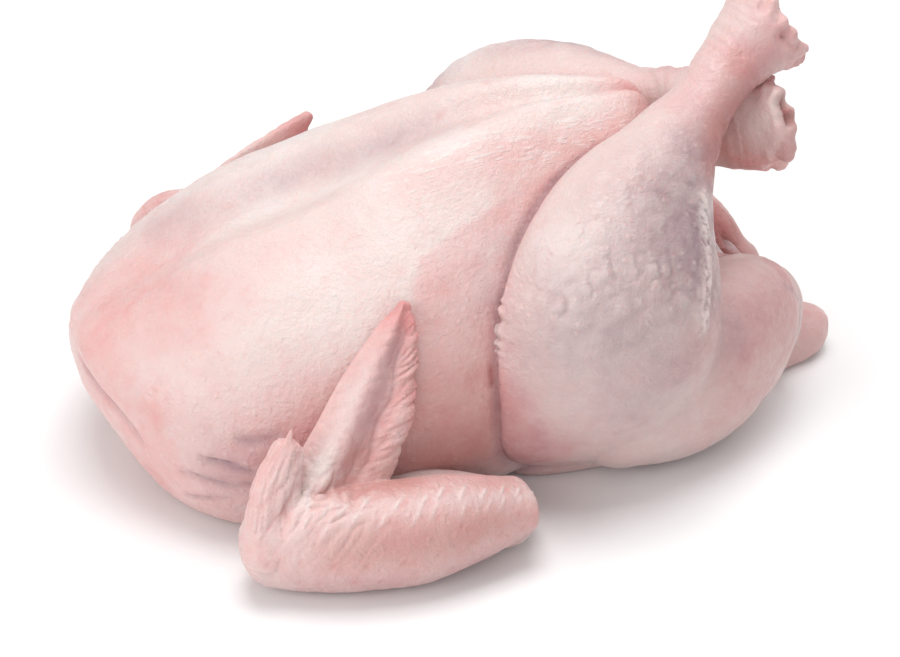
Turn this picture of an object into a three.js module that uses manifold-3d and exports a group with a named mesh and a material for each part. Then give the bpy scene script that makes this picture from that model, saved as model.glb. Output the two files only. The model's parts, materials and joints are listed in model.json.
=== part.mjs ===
// Whole raw chicken, plucked and oven ready, lying on its back with its shanks crossed over the vent
// and its wings folded under. Millimetres, +Z up, +X towards the tail. Its near side is -Y.
// The bird is one solid: every form below is a closed loft through named stations, and the lofts are
// joined where flesh runs into flesh. The origin is on the table, under the middle of its length.

import * as THREE from 'three';
import { mergeVertices } from 'three/addons/utils/BufferGeometryUtils.js';
import Module from 'manifold-3d';

const wasm = await Module();
wasm.setup();

// ---- Driving dimensions

const NEAR = -1; // side of the body with the upper shank
const FAR = 1; // side of the body with the lower shank

const BIG_FORM_RINGS = 34; // rings along the trunk
const BIG_FORM_SIDES = 36; // points round the trunk, three to each outline point
const LEG_RINGS = 24;
const LEG_SIDES = 18;
const LIMB_RINGS = 12;
const LIMB_SIDES = 12;
const BLADE_SIDES = 20; // points round a wing tip
const CAP_RINGS = 3; // rings of a rounded end
const BALL_SIDES = 12;

const FLANK_REACH = 0.66; // where the breast's slope turns over, as a share of the way out to the flank
const FLANK_DROP = 0.4; // how far it has fallen there, as a share of the way down
// Outlines of sections: a squareness of 2 is an ellipse
const ROUND_OUTLINE = { squareness: 2 };
const LEG_OUTLINE = { squareness: 2.15 };
const FOREARM_OUTLINE = { squareness: 2.2 };

// A wing tip's thickness on its outer face, as shares of the half thickness: the flat of the blade, a
// bone ridge before the middle, a hollow behind it and a fleshy rim, each at a place from -1 to 1
const BLADE_FLAT = 0.6;
const BLADE_WAVES = [
  { share: 0.5, at: -0.42, width: 0.36 },
  { share: -0.2, at: 0.2, width: 0.26 },
  { share: 0.16, at: 0.72, width: 0.22 },
];

const VENT = { at: [98, 0, 54], half: [16, 18, 14], turn: 0.8 }; // shallow dish in the flesh of the vent
const HOCK_DISH = 10; // radius of the hollow in a hock's cut end
const HOCK_BONE = 8.5; // radius of the bone end that fills most of it

const TABLE = { size: 600, depth: 60 }; // slab that flattens what lies on the table

// Trunk stations: x, height of the back, height of the widest line, half width, half width of the
// flat back, height of the breast crest, half distance between the two crests, depth of the valley
const TRUNK = [
  [-133, 40, 46, 5, 3, 52, 2, 0],
  [-130, 31, 45, 19, 9, 55, 7, 0.5],
  [-123, 19, 44, 34, 17, 60, 12, 1.5],
  [-112, 6, 42, 50, 31, 68, 17, 3],
  [-97, 0, 41, 63, 45, 79, 20, 5],
  [-78, 0, 41, 71, 54, 89, 22, 6],
  [-52, 0, 44, 74, 54, 97.5, 23, 8],
  [-24, 0, 49, 71, 49, 108.5, 20.5, 7],
  [5, 0, 50, 65, 46, 117.5, 16.5, 6],
  [30, 0, 49, 58, 44, 119.5, 12.5, 4.5],
  [50, 0, 46, 52, 42, 117.5, 10, 3],
  [61, 0, 43, 48, 40, 116, 8, 1.5],
  [68, 0, 40, 46, 38, 109.5, 7, 0],
  [74, 0, 37, 43, 36, 91, 9, 0],
  [87, 0, 31, 38, 33, 63, 13, 0],
  [103, 0, 23, 29, 26, 44, 12, 0],
  [114, 0, 15, 20, 17, 29.5, 8, 0],
  [123, 0, 11, 15, 12, 21.5, 5, 0],
  [130, 0.5, 9.5, 12.5, 9, 17, 4, 0],
  [136, 1.5, 9, 9.5, 5.5, 15, 3, 0],
  [140, 4, 9, 4, 3, 12, 2, 0],
];

// Leg stations, from the thigh on the table up to the hock: x, distance out from the middle, z,
// half length, half thickness, tilt of the length towards the tail and lean of the thickness, degrees
const NEAR_LEG = [
  [32, 44, 6, 38, 15, 0, 0],
  [33, 51, 20, 42, 24, 0, 5],
  [35, 54, 38, 42, 30, 1, 12],
  [37, 56, 54, 41, 31, 3, 18],
  [39.5, 55, 69.5, 38.5, 30, 9, 22],
  [44.5, 50, 85, 34, 27, 18, 26],
  [54, 41, 100, 26, 21, 30, 28],
  [68, 31, 110.5, 16, 15, 42, 25],
  [81, 21, 118, 10.5, 11.5, 50, 20],
  [91, 13, 125, 10.5, 11.5, 56, 15],
  [101, 6, 130, 13, 13.5, 60, 10],
  [109, 1, 133, 15.5, 16, 62, 8],
  [114, -2, 134, 15.5, 16, 62, 8],
];
const FAR_LEG = [
  [31, 44, 6, 37, 15, 0, 0],
  [32, 51, 20, 41, 24, 0, 5],
  [32, 54, 38, 42, 30, 1, 12],
  [34, 56, 54, 41, 31, 4, 18],
  [38, 56, 69.5, 38.5, 30, 10, 22],
  [44.5, 52, 83, 33, 27, 21, 24],
  [56, 42, 93.5, 24, 21, 36, 22],
  [69, 31, 98, 16, 15.5, 54, 16],
  [79, 21, 97.5, 13, 13.5, 64, 10],
  [87, 12, 96.5, 16.5, 17, 72, 5],
  [95, 4, 98, 18, 18.5, 78, 0],
  [104, -4, 101.5, 18.5, 18.5, 82, 0],
  [110.5, -9, 104, 18, 17.5, 82, 0],
];

// Limb stations: x, distance out from the middle, z, half thickness across, half thickness up
const NEAR_RUMP = [
  [45, 50, 32, 26, 31],
  [66, 48, 32, 26, 31],
  [85, 38, 34, 24, 31.5],
  [99, 30, 32, 19, 27],
  [109, 22, 28.5, 12.5, 20],
];
const FAR_RUMP = [
  [45, 50, 31, 26, 30],
  [66, 48, 31, 26, 30],
  [84, 38, 32, 23, 29],
  [97, 28, 28, 18, 24],
  [107, 18, 23, 13, 17],
];
const UPPER_WING = [
  [-66, 56, 18, 12, 13],
  [-46, 66, 14, 14, 12],
  [-25, 78, 12, 14, 11.5],
  [-6, 88, 12, 12, 11.5],
];
const FOREARM = [
  [-1.5, 93, 18.5, 11, 8.5],
  [-18, 96, 18.5, 13.5, 14],
  [-38, 98, 18, 16, 17.5],
  [-60, 97, 18, 15, 17.5],
  [-76, 94, 18, 13, 17],
  [-84, 91, 18, 12, 16],
];
const NEAR_THUMB = [
  [-86, 96, 18, 8, 10],
  [-86, 94, 28, 6.5, 9],
  [-83, 91, 40, 5.5, 8],
  [-78, 87, 50, 4, 5.5],
];
const FAR_THUMB = [
  [-88, 90, 24, 8, 10],
  [-87, 86, 36, 6.5, 10],
  [-82.5, 81, 45, 5.5, 9],
  [-75.5, 77, 50, 4, 6],
];
const NEAR_WING_TIP = [
  [-72, 90, 16, 12, 13],
  [-65, 86, 29, 9, 15],
  [-54.5, 80, 42, 6.5, 15],
  [-46.5, 74, 54, 5.5, 14],
  [-40.5, 68.5, 65, 5, 10.5],
  [-35, 63.5, 75, 4.2, 6.5],
  [-32.5, 60.5, 80.5, 2.6, 2.6],
];
const FAR_WING_TIP = [
  [-78, 91, 18, 12, 13],
  [-71, 87, 30, 9, 14],
  [-64, 82, 43.5, 6.5, 14.5],
  [-57, 77.5, 55, 5.5, 13],
  [-49.5, 73.5, 64.8, 5, 10.5],
  [-42, 70, 74, 4, 6.8],
  [-35.5, 67.5, 82, 2.6, 2.6],
];

const SKIN = { color: '#e9c9c2', roughness: 0.5, metalness: 0 };

// ---- Curves and lofts

/** Catmull-Rom blend of four rows at share t of the way from p1 to p2. */
function blendRows(p0, p1, p2, p3, t) {
  return p1.map((value, i) => {
    const slope = (p2[i] - p0[i]) * t;
    const bend = (2 * p0[i] - 5 * value + 4 * p2[i] - p3[i]) * t * t;
    const twist = (3 * value - p0[i] - 3 * p2[i] + p3[i]) * t * t * t;
    return value + 0.5 * (slope + bend + twist);
  });
}

/** `count` rows evenly spread along the smooth curve through the rows of a table. */
function smoothRows(rows, count) {
  const last = rows.length - 1;
  const before = rows[0].map((value, i) => 2 * value - rows[1][i]);
  const after = rows[last].map((value, i) => 2 * value - rows[last - 1][i]);
  const row = (i) => (i < 0 ? before : i > last ? after : rows[i]);
  return Array.from({ length: count }, (_, n) => {
    const place = (n * last) / (count - 1);
    const i = Math.min(Math.floor(place), last - 1);
    return blendRows(row(i - 1), row(i), row(i + 1), row(i + 2), place - i);
  });
}

/** `count` points evenly spread along the smooth closed curve through a ring of points. */
function smoothRing(points, count) {
  const size = points.length;
  const point = (i) => points[(i + size) % size];
  return Array.from({ length: count }, (_, n) => {
    const place = (n * size) / count;
    const i = Math.floor(place);
    return blendRows(point(i - 1), point(i), point(i + 1), point(i + 2), place - i);
  });
}

/** Closed mesh over rings of equal size, shut by a point at either end, with its faces outward. */
function skinOver(rings, firstPole, lastPole) {
  const sides = rings[0].length;
  const positions = [...rings.flat(), firstPole, lastPole];
  const first = positions.length - 2;
  const faces = [];
  for (let v = 0; v < sides; v += 1) {
    const w = (v + 1) % sides;
    faces.push([first, w, v]);
    for (let u = 0; u < rings.length - 1; u += 1) {
      const a = u * sides + v;
      const b = u * sides + w;
      faces.push([a, b, b + sides], [a, b + sides, a + sides]);
    }
    const end = (rings.length - 1) * sides;
    faces.push([end + v, end + w, first + 1]);
  }
  return solid(positions, facesOutward(positions, faces));
}

/** The same faces, turned over if they enclose a negative volume. */
function facesOutward(positions, faces) {
  const corner = faces.map((face) => face.map((i) => new THREE.Vector3(...positions[i])));
  const volume = corner.reduce((sum, [a, b, c]) => sum + a.dot(b.clone().cross(c)), 0);
  return volume < 0 ? faces.map(([a, b, c]) => [a, c, b]) : faces;
}

/** Manifold solid from points and triangles. */
function solid(positions, faces) {
  const vertProperties = new Float32Array(positions.flat());
  const triVerts = new Uint32Array(faces.flat());
  return new wasm.Manifold(new wasm.Mesh({ numProp: 3, vertProperties, triVerts }));
}

/** Manifold solid from a closed three.js geometry that has been moved into place. */
function solidOf(geometry) {
  geometry.deleteAttribute('normal');
  geometry.deleteAttribute('uv');
  const merged = mergeVertices(geometry, 1e-4);
  const vertProperties = new Float32Array(merged.attributes.position.array);
  const triVerts = new Uint32Array(merged.index.array);
  return new wasm.Manifold(new wasm.Mesh({ numProp: 3, vertProperties, triVerts }));
}

/** Superellipse ring about a centre, spanned by two half axes, its first axis scaled by a profile. */
function ring({ centre, long, across }, sides, { squareness, profile = () => 1 }) {
  const bend = (value) => Math.sign(value) * Math.abs(value) ** (2 / squareness);
  return Array.from({ length: sides }, (_, n) => {
    const angle = (2 * Math.PI * n) / sides;
    const [out, place] = [bend(Math.cos(angle)), bend(Math.sin(angle))];
    const point = centre.clone();
    point.addScaledVector(long, out * profile(out, place));
    point.addScaledVector(across, place);
    return point.toArray();
  });
}

/** Outline of a wing tip: its thickness is waved on the outer face and flat on the inner one. */
function bladeOutline(side) {
  const wave = (place, { share, at, width }) => share * Math.exp(-(((place - at) / width) ** 2));
  const waved = (place) => BLADE_WAVES.reduce((sum, hill) => sum + wave(place, hill), BLADE_FLAT);
  return { squareness: 2, profile: (out, place) => (out * side < 0 ? waved(place) : BLADE_FLAT) };
}

/** Stations that round off one end: the last section shrinks as it moves on by `reach`. */
function roundedEnd(section, direction, reach) {
  return Array.from({ length: CAP_RINGS }, (_, n) => {
    const angle = ((n + 1) / (CAP_RINGS + 1)) * (Math.PI / 2);
    return {
      centre: section.centre.clone().addScaledVector(direction, reach * Math.sin(angle)),
      long: section.long.clone().multiplyScalar(Math.cos(angle)),
      across: section.across.clone().multiplyScalar(Math.cos(angle)),
    };
  });
}

/** Loft through sections, with both ends rounded by a share of their own half thickness. */
function loft(sections, sides, outline, [firstRound, lastRound]) {
  const ends = [
    [sections[0], sections[1], firstRound],
    [sections.at(-1), sections.at(-2), lastRound],
  ].map(([end, next, round]) => {
    const outward = end.centre.clone().sub(next.centre);
    const normal = end.long.clone().cross(end.across).normalize();
    normal.multiplyScalar(Math.sign(normal.dot(outward)));
    const reach = round * Math.min(end.long.length(), end.across.length());
    const pole = end.centre.clone().addScaledVector(normal, reach).toArray();
    return { caps: roundedEnd(end, normal, reach), pole };
  });
  const all = [...ends[0].caps.reverse(), ...sections, ...ends[1].caps];
  const rings = all.map((section) => ring(section, sides, outline));
  return skinOver(rings, ends[0].pole, ends[1].pole);
}

/** Sections square to the curve through limb stations, on one side of the body. */
function limbSections(rows, side, count, up) {
  const smooth = smoothRows(rows, count);
  const centres = smooth.map(([x, out, z]) => new THREE.Vector3(x, side * out, z));
  return smooth.map((row, i) => {
    const next = centres[Math.min(i + 1, count - 1)];
    const along = next.clone().sub(centres[Math.max(i - 1, 0)]).normalize();
    const across = up.clone().cross(along).normalize();
    const rise = along.clone().cross(across);
    return {
      centre: centres[i],
      long: across.multiplyScalar(row[3]),
      across: rise.multiplyScalar(row[4]),
    };
  });
}

/** Sections through leg stations, each with its own tilt and lean, on one side of the body. */
function legSections(rows, side, count) {
  return smoothRows(rows, count).map(([x, out, z, length, thickness, tiltDegrees, leanDegrees]) => {
    const tilt = THREE.MathUtils.degToRad(tiltDegrees);
    const lean = THREE.MathUtils.degToRad(leanDegrees);
    const down = new THREE.Vector3(Math.sin(tilt), 0, Math.cos(tilt));
    const outward = new THREE.Vector3(0, side * Math.cos(lean), 0);
    return {
      centre: new THREE.Vector3(x, side * out, z),
      long: new THREE.Vector3(Math.cos(tilt), 0, -Math.sin(tilt)).multiplyScalar(length),
      across: outward.addScaledVector(down, Math.sin(lean)).multiplyScalar(thickness),
    };
  });
}

// ---- The forms of the bird

/** Outline of the trunk at one station: breast valley, crest, flank, flat back, and back up again. */
function trunkOutline([x, back, widest, half, flat, crest, crestHalf, valley]) {
  const turnOut = crestHalf + FLANK_REACH * (half - crestHalf);
  const turnHeight = crest - FLANK_DROP * (crest - widest);
  const lowOut = 0.88 * half + 0.12 * flat;
  const lowHeight = back + 0.3 * (widest - back);
  const side = [
    [crestHalf, crest],
    [turnOut, turnHeight],
    [half, widest],
    [lowOut, lowHeight],
    [flat, back],
  ];
  const otherSide = side.map(([out, height]) => [-out, height]).reverse();
  const outline = [[0, crest - valley], ...side, [0, back], ...otherSide];
  return smoothRing(outline, BIG_FORM_SIDES).map(([y, z]) => [x, y, Math.max(z, back)]);
}

/** Breast, back, belly and tail in one: a loft from the neck end to the tip of the tail. */
function trunk() {
  const stations = smoothRows(TRUNK, BIG_FORM_RINGS);
  const pole = ([x, back, , , , crest]) => [x, 0, (back + crest) / 2];
  return skinOver(stations.map(trunkOutline), pole(stations[0]), pole(stations.at(-1)));
}

/** Thigh, drumstick and hock of one side, with the bone end showing in the hock's cut. */
function leg(rows, side) {
  const sections = legSections(rows, side, LEG_RINGS);
  const flesh = loft(sections, LEG_SIDES, LEG_OUTLINE, [0.6, 0.3]);
  const end = sections.at(-1).centre.clone();
  const direction = end.clone().sub(sections.at(-3).centre).normalize();
  const dish = ball([HOCK_DISH, HOCK_DISH, HOCK_DISH], end.clone().addScaledVector(direction, 8));
  const bone = ball([HOCK_BONE, HOCK_BONE, HOCK_BONE], end.clone().addScaledVector(direction, -1));
  return flesh.subtract(dish).add(bone);
}

/** Ellipsoid at a place, turned about Y. */
function ball([x, y, z], place, turn = 0) {
  const geometry = new THREE.SphereGeometry(1, BALL_SIDES, BALL_SIDES / 2);
  geometry.scale(x, y, z);
  geometry.rotateY(turn);
  geometry.translate(place.x, place.y, place.z);
  return solidOf(geometry);
}

/** A limb of one side: a loft square to its own curve. */
function limb(rows, side, outline, rounds = [1, 1]) {
  const up = new THREE.Vector3(0, 0, 1);
  return loft(limbSections(rows, side, LIMB_RINGS, up), LIMB_SIDES, outline, rounds);
}

/** A flat limb that stands up: its thickness faces away from the breast. */
function standingLimb(rows, side, outline, sides) {
  const up = new THREE.Vector3(1, 0, 0);
  return loft(limbSections(rows, side, LIMB_RINGS, up), sides, outline, [1, 1]);
}

/** Folded wing of one side: upper arm under the flank, forearm on the table, tip up the breast. */
function wing(side, tipRows, thumbRows) {
  return [
    limb(UPPER_WING, side, ROUND_OUTLINE),
    limb(FOREARM, side, FOREARM_OUTLINE, [0.5, 1]),
    standingLimb(tipRows, side, bladeOutline(side), BLADE_SIDES),
    standingLimb(thumbRows, side, ROUND_OUTLINE, LIMB_SIDES),
  ];
}

/** Slab under the table's surface, which flattens the forms that rest on it. */
function table() {
  const slab = new THREE.BoxGeometry(TABLE.size, TABLE.size, TABLE.depth);
  slab.translate(0, 0, -TABLE.depth / 2);
  return solidOf(slab);
}

/** The whole bird as one solid. */
function bird() {
  const hindquarters = [
    leg(NEAR_LEG, NEAR),
    leg(FAR_LEG, FAR),
    limb(NEAR_RUMP, NEAR, LEG_OUTLINE),
    limb(FAR_RUMP, FAR, LEG_OUTLINE),
  ];
  const vent = ball(VENT.half, new THREE.Vector3(...VENT.at), VENT.turn);
  const body = hindquarters.reduce((sum, form) => sum.add(form), trunk()).subtract(vent);
  const wings = [
    ...wing(NEAR, NEAR_WING_TIP, NEAR_THUMB),
    ...wing(FAR, FAR_WING_TIP, FAR_THUMB),
  ];
  return wings.reduce((sum, form) => sum.add(form), body).subtract(table());
}

/** The solid moved along X until the middle of its length is over the origin. */
function centred(shape) {
  const { min, max } = shape.boundingBox();
  return shape.translate([-(min[0] + max[0]) / 2, 0, 0]);
}

/** Named mesh of a solid. */
function meshOf(name, shape, look) {
  const { vertProperties, triVerts } = shape.getMesh();
  const geometry = new THREE.BufferGeometry();
  geometry.setAttribute('position', new THREE.BufferAttribute(vertProperties, 3));
  geometry.setIndex(new THREE.BufferAttribute(triVerts, 1));
  geometry.computeVertexNormals();
  const mesh = new THREE.Mesh(geometry, new THREE.MeshStandardMaterial(look));
  mesh.name = name;
  return mesh;
}

const chicken = new THREE.Group();
chicken.add(meshOf('chicken', centred(bird()), SKIN));

export default chicken;
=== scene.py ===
# %% [markdown]
# # A whole raw chicken
# The bird lies on its back: breast up, wings folded under, shanks crossed over the vent. Flesh under
# loose skin has no flat faces and no true edges, so nothing here is built from boxes. Each form is a
# loft: a named row of cross sections that a smooth curve runs through. Every step below works on whole
# arrays of points at once, which keeps the code short and the surface as fine as it needs to be.

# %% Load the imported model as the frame
import itertools
import json

import bpy
import numpy as np
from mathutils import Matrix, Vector

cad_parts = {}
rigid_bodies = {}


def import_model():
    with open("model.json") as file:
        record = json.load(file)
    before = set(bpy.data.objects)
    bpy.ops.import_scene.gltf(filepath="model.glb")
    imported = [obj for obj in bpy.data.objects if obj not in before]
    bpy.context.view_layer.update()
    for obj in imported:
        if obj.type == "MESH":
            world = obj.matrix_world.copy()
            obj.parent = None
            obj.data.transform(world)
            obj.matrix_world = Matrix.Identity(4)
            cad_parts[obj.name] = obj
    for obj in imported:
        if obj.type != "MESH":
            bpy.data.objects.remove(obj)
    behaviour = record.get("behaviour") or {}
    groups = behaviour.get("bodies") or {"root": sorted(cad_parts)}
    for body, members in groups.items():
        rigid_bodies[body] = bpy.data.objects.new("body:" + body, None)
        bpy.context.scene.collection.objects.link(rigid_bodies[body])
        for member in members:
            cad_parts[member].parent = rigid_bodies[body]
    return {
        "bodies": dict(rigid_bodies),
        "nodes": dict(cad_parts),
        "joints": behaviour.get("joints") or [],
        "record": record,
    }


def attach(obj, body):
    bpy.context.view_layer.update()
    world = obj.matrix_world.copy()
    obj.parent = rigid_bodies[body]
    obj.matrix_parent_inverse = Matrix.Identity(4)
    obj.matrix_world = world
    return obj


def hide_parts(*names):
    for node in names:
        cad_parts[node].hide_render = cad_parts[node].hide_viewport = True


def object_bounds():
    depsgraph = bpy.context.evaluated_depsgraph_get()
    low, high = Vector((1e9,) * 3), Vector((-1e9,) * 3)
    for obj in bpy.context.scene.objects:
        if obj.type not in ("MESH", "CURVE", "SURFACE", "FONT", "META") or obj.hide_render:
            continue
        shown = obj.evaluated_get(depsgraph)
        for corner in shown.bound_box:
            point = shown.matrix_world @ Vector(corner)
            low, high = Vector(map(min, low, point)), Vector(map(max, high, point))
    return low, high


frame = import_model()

CAD_BOX = [list(corner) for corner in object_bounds()]
print("box of the solid model, m:", CAD_BOX)

# %% [markdown]
# ## Sizes
# The tables give the bird's forms in millimetres, with +X towards the tail, the near side at -Y and the
# table at Z = 0. They are the same stations that the solid is lofted through. The solid stands with the
# middle of its length over the origin, so all the forms share one move along X to get there.

# %% The sizes that everything else follows
MM = 0.001  # metres in a millimetre
NECK_END = -133.0  # lowest x of the stations below
TO_FRAME = np.array([CAD_BOX[0][0] / MM - NECK_END, 0.0, 0.0])  # millimetres
NEAR, FAR = -1, 1

TRUNK_RINGS, TRUNK_SIDES = 340, 288
LEG_VOXEL = {NEAR: 0.8, FAR: 1.0}  # edge of the cells that legs are fused with
WING_VOXEL = {NEAR: 0.55, FAR: 0.8}
print("move to the frame, mm:", TO_FRAME.round(2))

# %% The stations
# Trunk: x, height of the back, height of the widest line, half width, half width of the flat back,
# height of the breast crest, half distance between the crests, depth of the valley between them
TRUNK = [
    (-133, 40, 46, 5, 3, 52, 2, 0),
    (-130, 31, 45, 19, 9, 55, 7, 0.5),
    (-123, 19, 44, 34, 17, 60, 12, 1.5),
    (-112, 6, 42, 50, 31, 68, 17, 3),
    (-97, 0, 41, 63, 45, 79, 20, 5),
    (-78, 0, 41, 71, 54, 89, 22, 6),
    (-52, 0, 44, 74, 54, 97.5, 23, 8),
    (-24, 0, 49, 71, 49, 108.5, 20.5, 7),
    (5, 0, 50, 65, 46, 117.5, 16.5, 6),
    (30, 0, 49, 58, 44, 119.5, 12.5, 4.5),
    (50, 0, 46, 52, 42, 117.5, 10, 3),
    (61, 0, 43, 48, 40, 116, 8, 1.5),
    (68, 0, 40, 46, 38, 109.5, 7, 0),
    (74, 0, 37, 43, 36, 91, 9, 0),
    (87, 0, 31, 38, 33, 63, 13, 0),
    (103, 0, 23, 29, 26, 44, 12, 0),
    (114, 0, 15, 20, 17, 29.5, 8, 0),
    (123, 0, 11, 15, 12, 21.5, 5, 0),
    (130, 0.5, 9.5, 12.5, 9, 17, 4, 0),
    (136, 1.5, 9, 9.5, 5.5, 15, 3, 0),
    (140, 4, 9, 4, 3, 12, 2, 0),
]
# Legs: x, distance out, z, half length, half thickness, tilt and lean in degrees
NEAR_LEG = [
    (32, 44, 6, 38, 15, 0, 0),
    (33, 51, 20, 42, 24, 0, 5),
    (35, 54, 38, 42, 30, 1, 12),
    (37, 56, 54, 41, 31, 3, 18),
    (39.5, 55, 69.5, 38.5, 30, 9, 22),
    (44.5, 50, 85, 34, 27, 18, 26),
    (54, 41, 100, 26, 21, 30, 28),
    (68, 31, 110.5, 16, 15, 42, 25),
    (81, 21, 118, 10.5, 11.5, 50, 20),
    (91, 13, 125, 10.5, 11.5, 56, 15),
    (101, 6, 130, 13, 13.5, 60, 10),
    (109, 1, 133, 15.5, 16, 62, 8),
    (114, -2, 134, 15.5, 16, 62, 8),
]
FAR_LEG = [
    (31, 44, 6, 37, 15, 0, 0),
    (32, 51, 20, 41, 24, 0, 5),
    (32, 54, 38, 42, 30, 1, 12),
    (34, 56, 54, 41, 31, 4, 18),
    (38, 56, 69.5, 38.5, 30, 10, 22),
    (44.5, 52, 83, 33, 27, 21, 24),
    (56, 42, 93.5, 24, 21, 36, 22),
    (69, 31, 98, 16, 15.5, 54, 16),
    (79, 21, 97.5, 13, 13.5, 64, 10),
    (87, 12, 96.5, 16.5, 17, 72, 5),
    (95, 4, 98, 18, 18.5, 78, 0),
    (104, -4, 101.5, 18.5, 18.5, 82, 0),
    (110.5, -9, 104, 18, 17.5, 82, 0),
]
LEG = {NEAR: NEAR_LEG, FAR: FAR_LEG}
# Limbs: x, distance out, z, half thickness across, half thickness up
RUMP_SIDE = {
    NEAR: [
        (45, 50, 32, 26, 31),
        (66, 48, 32, 26, 31),
        (85, 38, 34, 24, 31.5),
        (99, 30, 32, 19, 27),
        (109, 22, 28.5, 12.5, 20),
    ],
    FAR: [
        (45, 50, 31, 26, 30),
        (66, 48, 31, 26, 30),
        (84, 38, 32, 23, 29),
        (97, 28, 28, 18, 24),
        (107, 18, 23, 13, 17),
    ],
}
UPPER_WING = [(-66, 56, 18, 12, 13), (-46, 66, 14, 14, 12), (-25, 78, 12, 14, 11.5), (-6, 88, 12, 12, 11.5)]
FOREARM = [
    (-1.5, 93, 18.5, 11, 8.5),
    (-18, 96, 18.5, 13.5, 14),
    (-38, 98, 18, 16, 17.5),
    (-60, 97, 18, 15, 17.5),
    (-76, 94, 18, 13, 17),
    (-84, 91, 18, 12, 16),
]
THUMB = {
    NEAR: [(-86, 96, 18, 8, 10), (-86, 94, 28, 6.5, 9), (-83, 91, 40, 5.5, 8), (-78, 87, 50, 4, 5.5)],
    FAR: [(-88, 90, 24, 8, 10), (-87, 86, 36, 6.5, 10), (-82.5, 81, 45, 5.5, 9), (-75.5, 77, 50, 4, 6)],
}
THUMB_CLAW = {
    NEAR: [(-79, 88, 51, 2, 2.4), (-77.5, 87, 55, 1.1, 1.2), (-76.5, 86.5, 58.5, 0.5, 0.5)],
    FAR: [(-74, 77.5, 49, 2, 2.4), (-71, 76, 52, 1.1, 1.2), (-68.5, 75, 54.5, 0.5, 0.5)],
}
# Wing tips: x, distance out, z, half thickness, half width of the blade
WING_TIP = {
    NEAR: [
        (-72, 90, 16, 12, 13),
        (-65, 86, 29, 9, 15),
        (-54.5, 80, 42, 6.5, 15),
        (-46.5, 74, 54, 5.5, 14),
        (-40.5, 68.5, 65, 5, 10.5),
        (-35, 63.5, 75, 4.2, 6.5),
        (-32.5, 60.5, 80.5, 2.6, 2.6),
    ],
    FAR: [
        (-78, 91, 18, 12, 13),
        (-71, 87, 30, 9, 14),
        (-64, 82, 43.5, 6.5, 14.5),
        (-57, 77.5, 55, 5.5, 13),
        (-49.5, 73.5, 64.8, 5, 10.5),
        (-42, 70, 74, 4, 6.8),
        (-35.5, 67.5, 82, 2.6, 2.6),
    ],
}

# %% [markdown]
# ## Curves through stations
# A Catmull-Rom curve passes through every row and needs no handles: each stretch is a cubic whose slope
# at a row is half the step between that row's neighbours.

# %% Smooth curves, open and closed
def blend(p0, p1, p2, p3, t):
    """Catmull-Rom: a cubic from p1 to p2 as t goes from 0 to 1, its end slopes half of p2-p0 and p3-p1."""
    return p1 + 0.5 * (
        (p2 - p0) * t + (2 * p0 - 5 * p1 + 4 * p2 - p3) * t**2 + (3 * p1 - p0 - 3 * p2 + p3) * t**3
    )


def fade(value, low, high):
    """0 below low, 1 above high, an even S between; low may be the larger to run the other way."""
    t = np.clip((value - low) / (high - low), 0, 1)
    return t * t * (3 - 2 * t)


def smooth_rows(rows, count):
    """count rows evenly spread along the open smooth curve through a table's rows."""
    rows = np.asarray(rows, float)
    padded = np.vstack([2 * rows[0] - rows[1], rows, 2 * rows[-1] - rows[-2]])
    place = np.linspace(0, len(rows) - 1, count)
    i = np.minimum(place.astype(int), len(rows) - 2)
    t = (place - i)[:, None]
    return blend(padded[i], padded[i + 1], padded[i + 2], padded[i + 3], t)


def smooth_rings(points, places):
    """The closed smooth curve through points[..., k, :] along its second-last axis, read at places in k."""
    size = points.shape[-2]
    i = np.floor(places).astype(int)
    t = (places - i)[:, None]
    return blend(*(points[..., (i + step) % size, :] for step in (-1, 0, 1, 2)), t)


print("trunk rows", smooth_rows(TRUNK, 5).round(1)[:, 0])

# %% [markdown]
# ## From a grid of points to a mesh
# A loft is a grid of points: rings along the form, points round each ring. Quads join neighbours, and
# a fan of triangles closes each end.

# %% Grids to meshes
def tube_faces(rings, sides):
    """Faces over a grid of rings x sides points, wrapped round, with a fan to a pole at either end."""
    u, v = np.meshgrid(np.arange(rings - 1), np.arange(sides), indexing="ij")
    w = (v + 1) % sides
    quads = np.stack([u * sides + v, u * sides + w, (u + 1) * sides + w, (u + 1) * sides + v], -1)
    v = np.arange(sides)
    w = (v + 1) % sides
    first, last = rings * sides, rings * sides + 1
    end = (rings - 1) * sides
    fans = [np.stack([v * 0 + first, w, v], -1), np.stack([end + v, end + w, v * 0 + last], -1)]
    return quads.reshape(-1, 4), np.vstack(fans)


def new_mesh(name, points, quads, triangles=None):
    """Mesh object from points in millimetres; foreach_set takes each array whole."""
    triangles = np.empty((0, 3), int) if triangles is None else triangles
    mesh = bpy.data.meshes.new(name)
    mesh.vertices.add(len(points))
    mesh.vertices.foreach_set("co", ((points + TO_FRAME) * MM).astype(np.float32).ravel())
    corners = np.concatenate([quads.ravel(), triangles.ravel()])
    starts = np.concatenate([np.arange(len(quads)) * 4, len(quads) * 4 + np.arange(len(triangles)) * 3])
    mesh.loops.add(len(corners))
    mesh.loops.foreach_set("vertex_index", corners.astype(np.int32))
    mesh.polygons.add(len(starts))
    mesh.polygons.foreach_set("loop_start", starts.astype(np.int32))
    mesh.polygons.foreach_set("use_smooth", np.ones(len(starts), bool))
    mesh.update(calc_edges=True)
    mesh.validate()
    obj = bpy.data.objects.new(name, mesh)
    bpy.context.collection.objects.link(obj)
    return obj


def outward(points, quads, triangles):
    """The faces, turned over if the volume they enclose comes out negative."""
    a, b, c = (points[triangles_of(quads, triangles)[:, k]] for k in range(3))
    if np.einsum("ij,ij->", a, np.cross(b, c)) < 0:
        return quads[:, ::-1], triangles[:, ::-1]
    return quads, triangles


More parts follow.
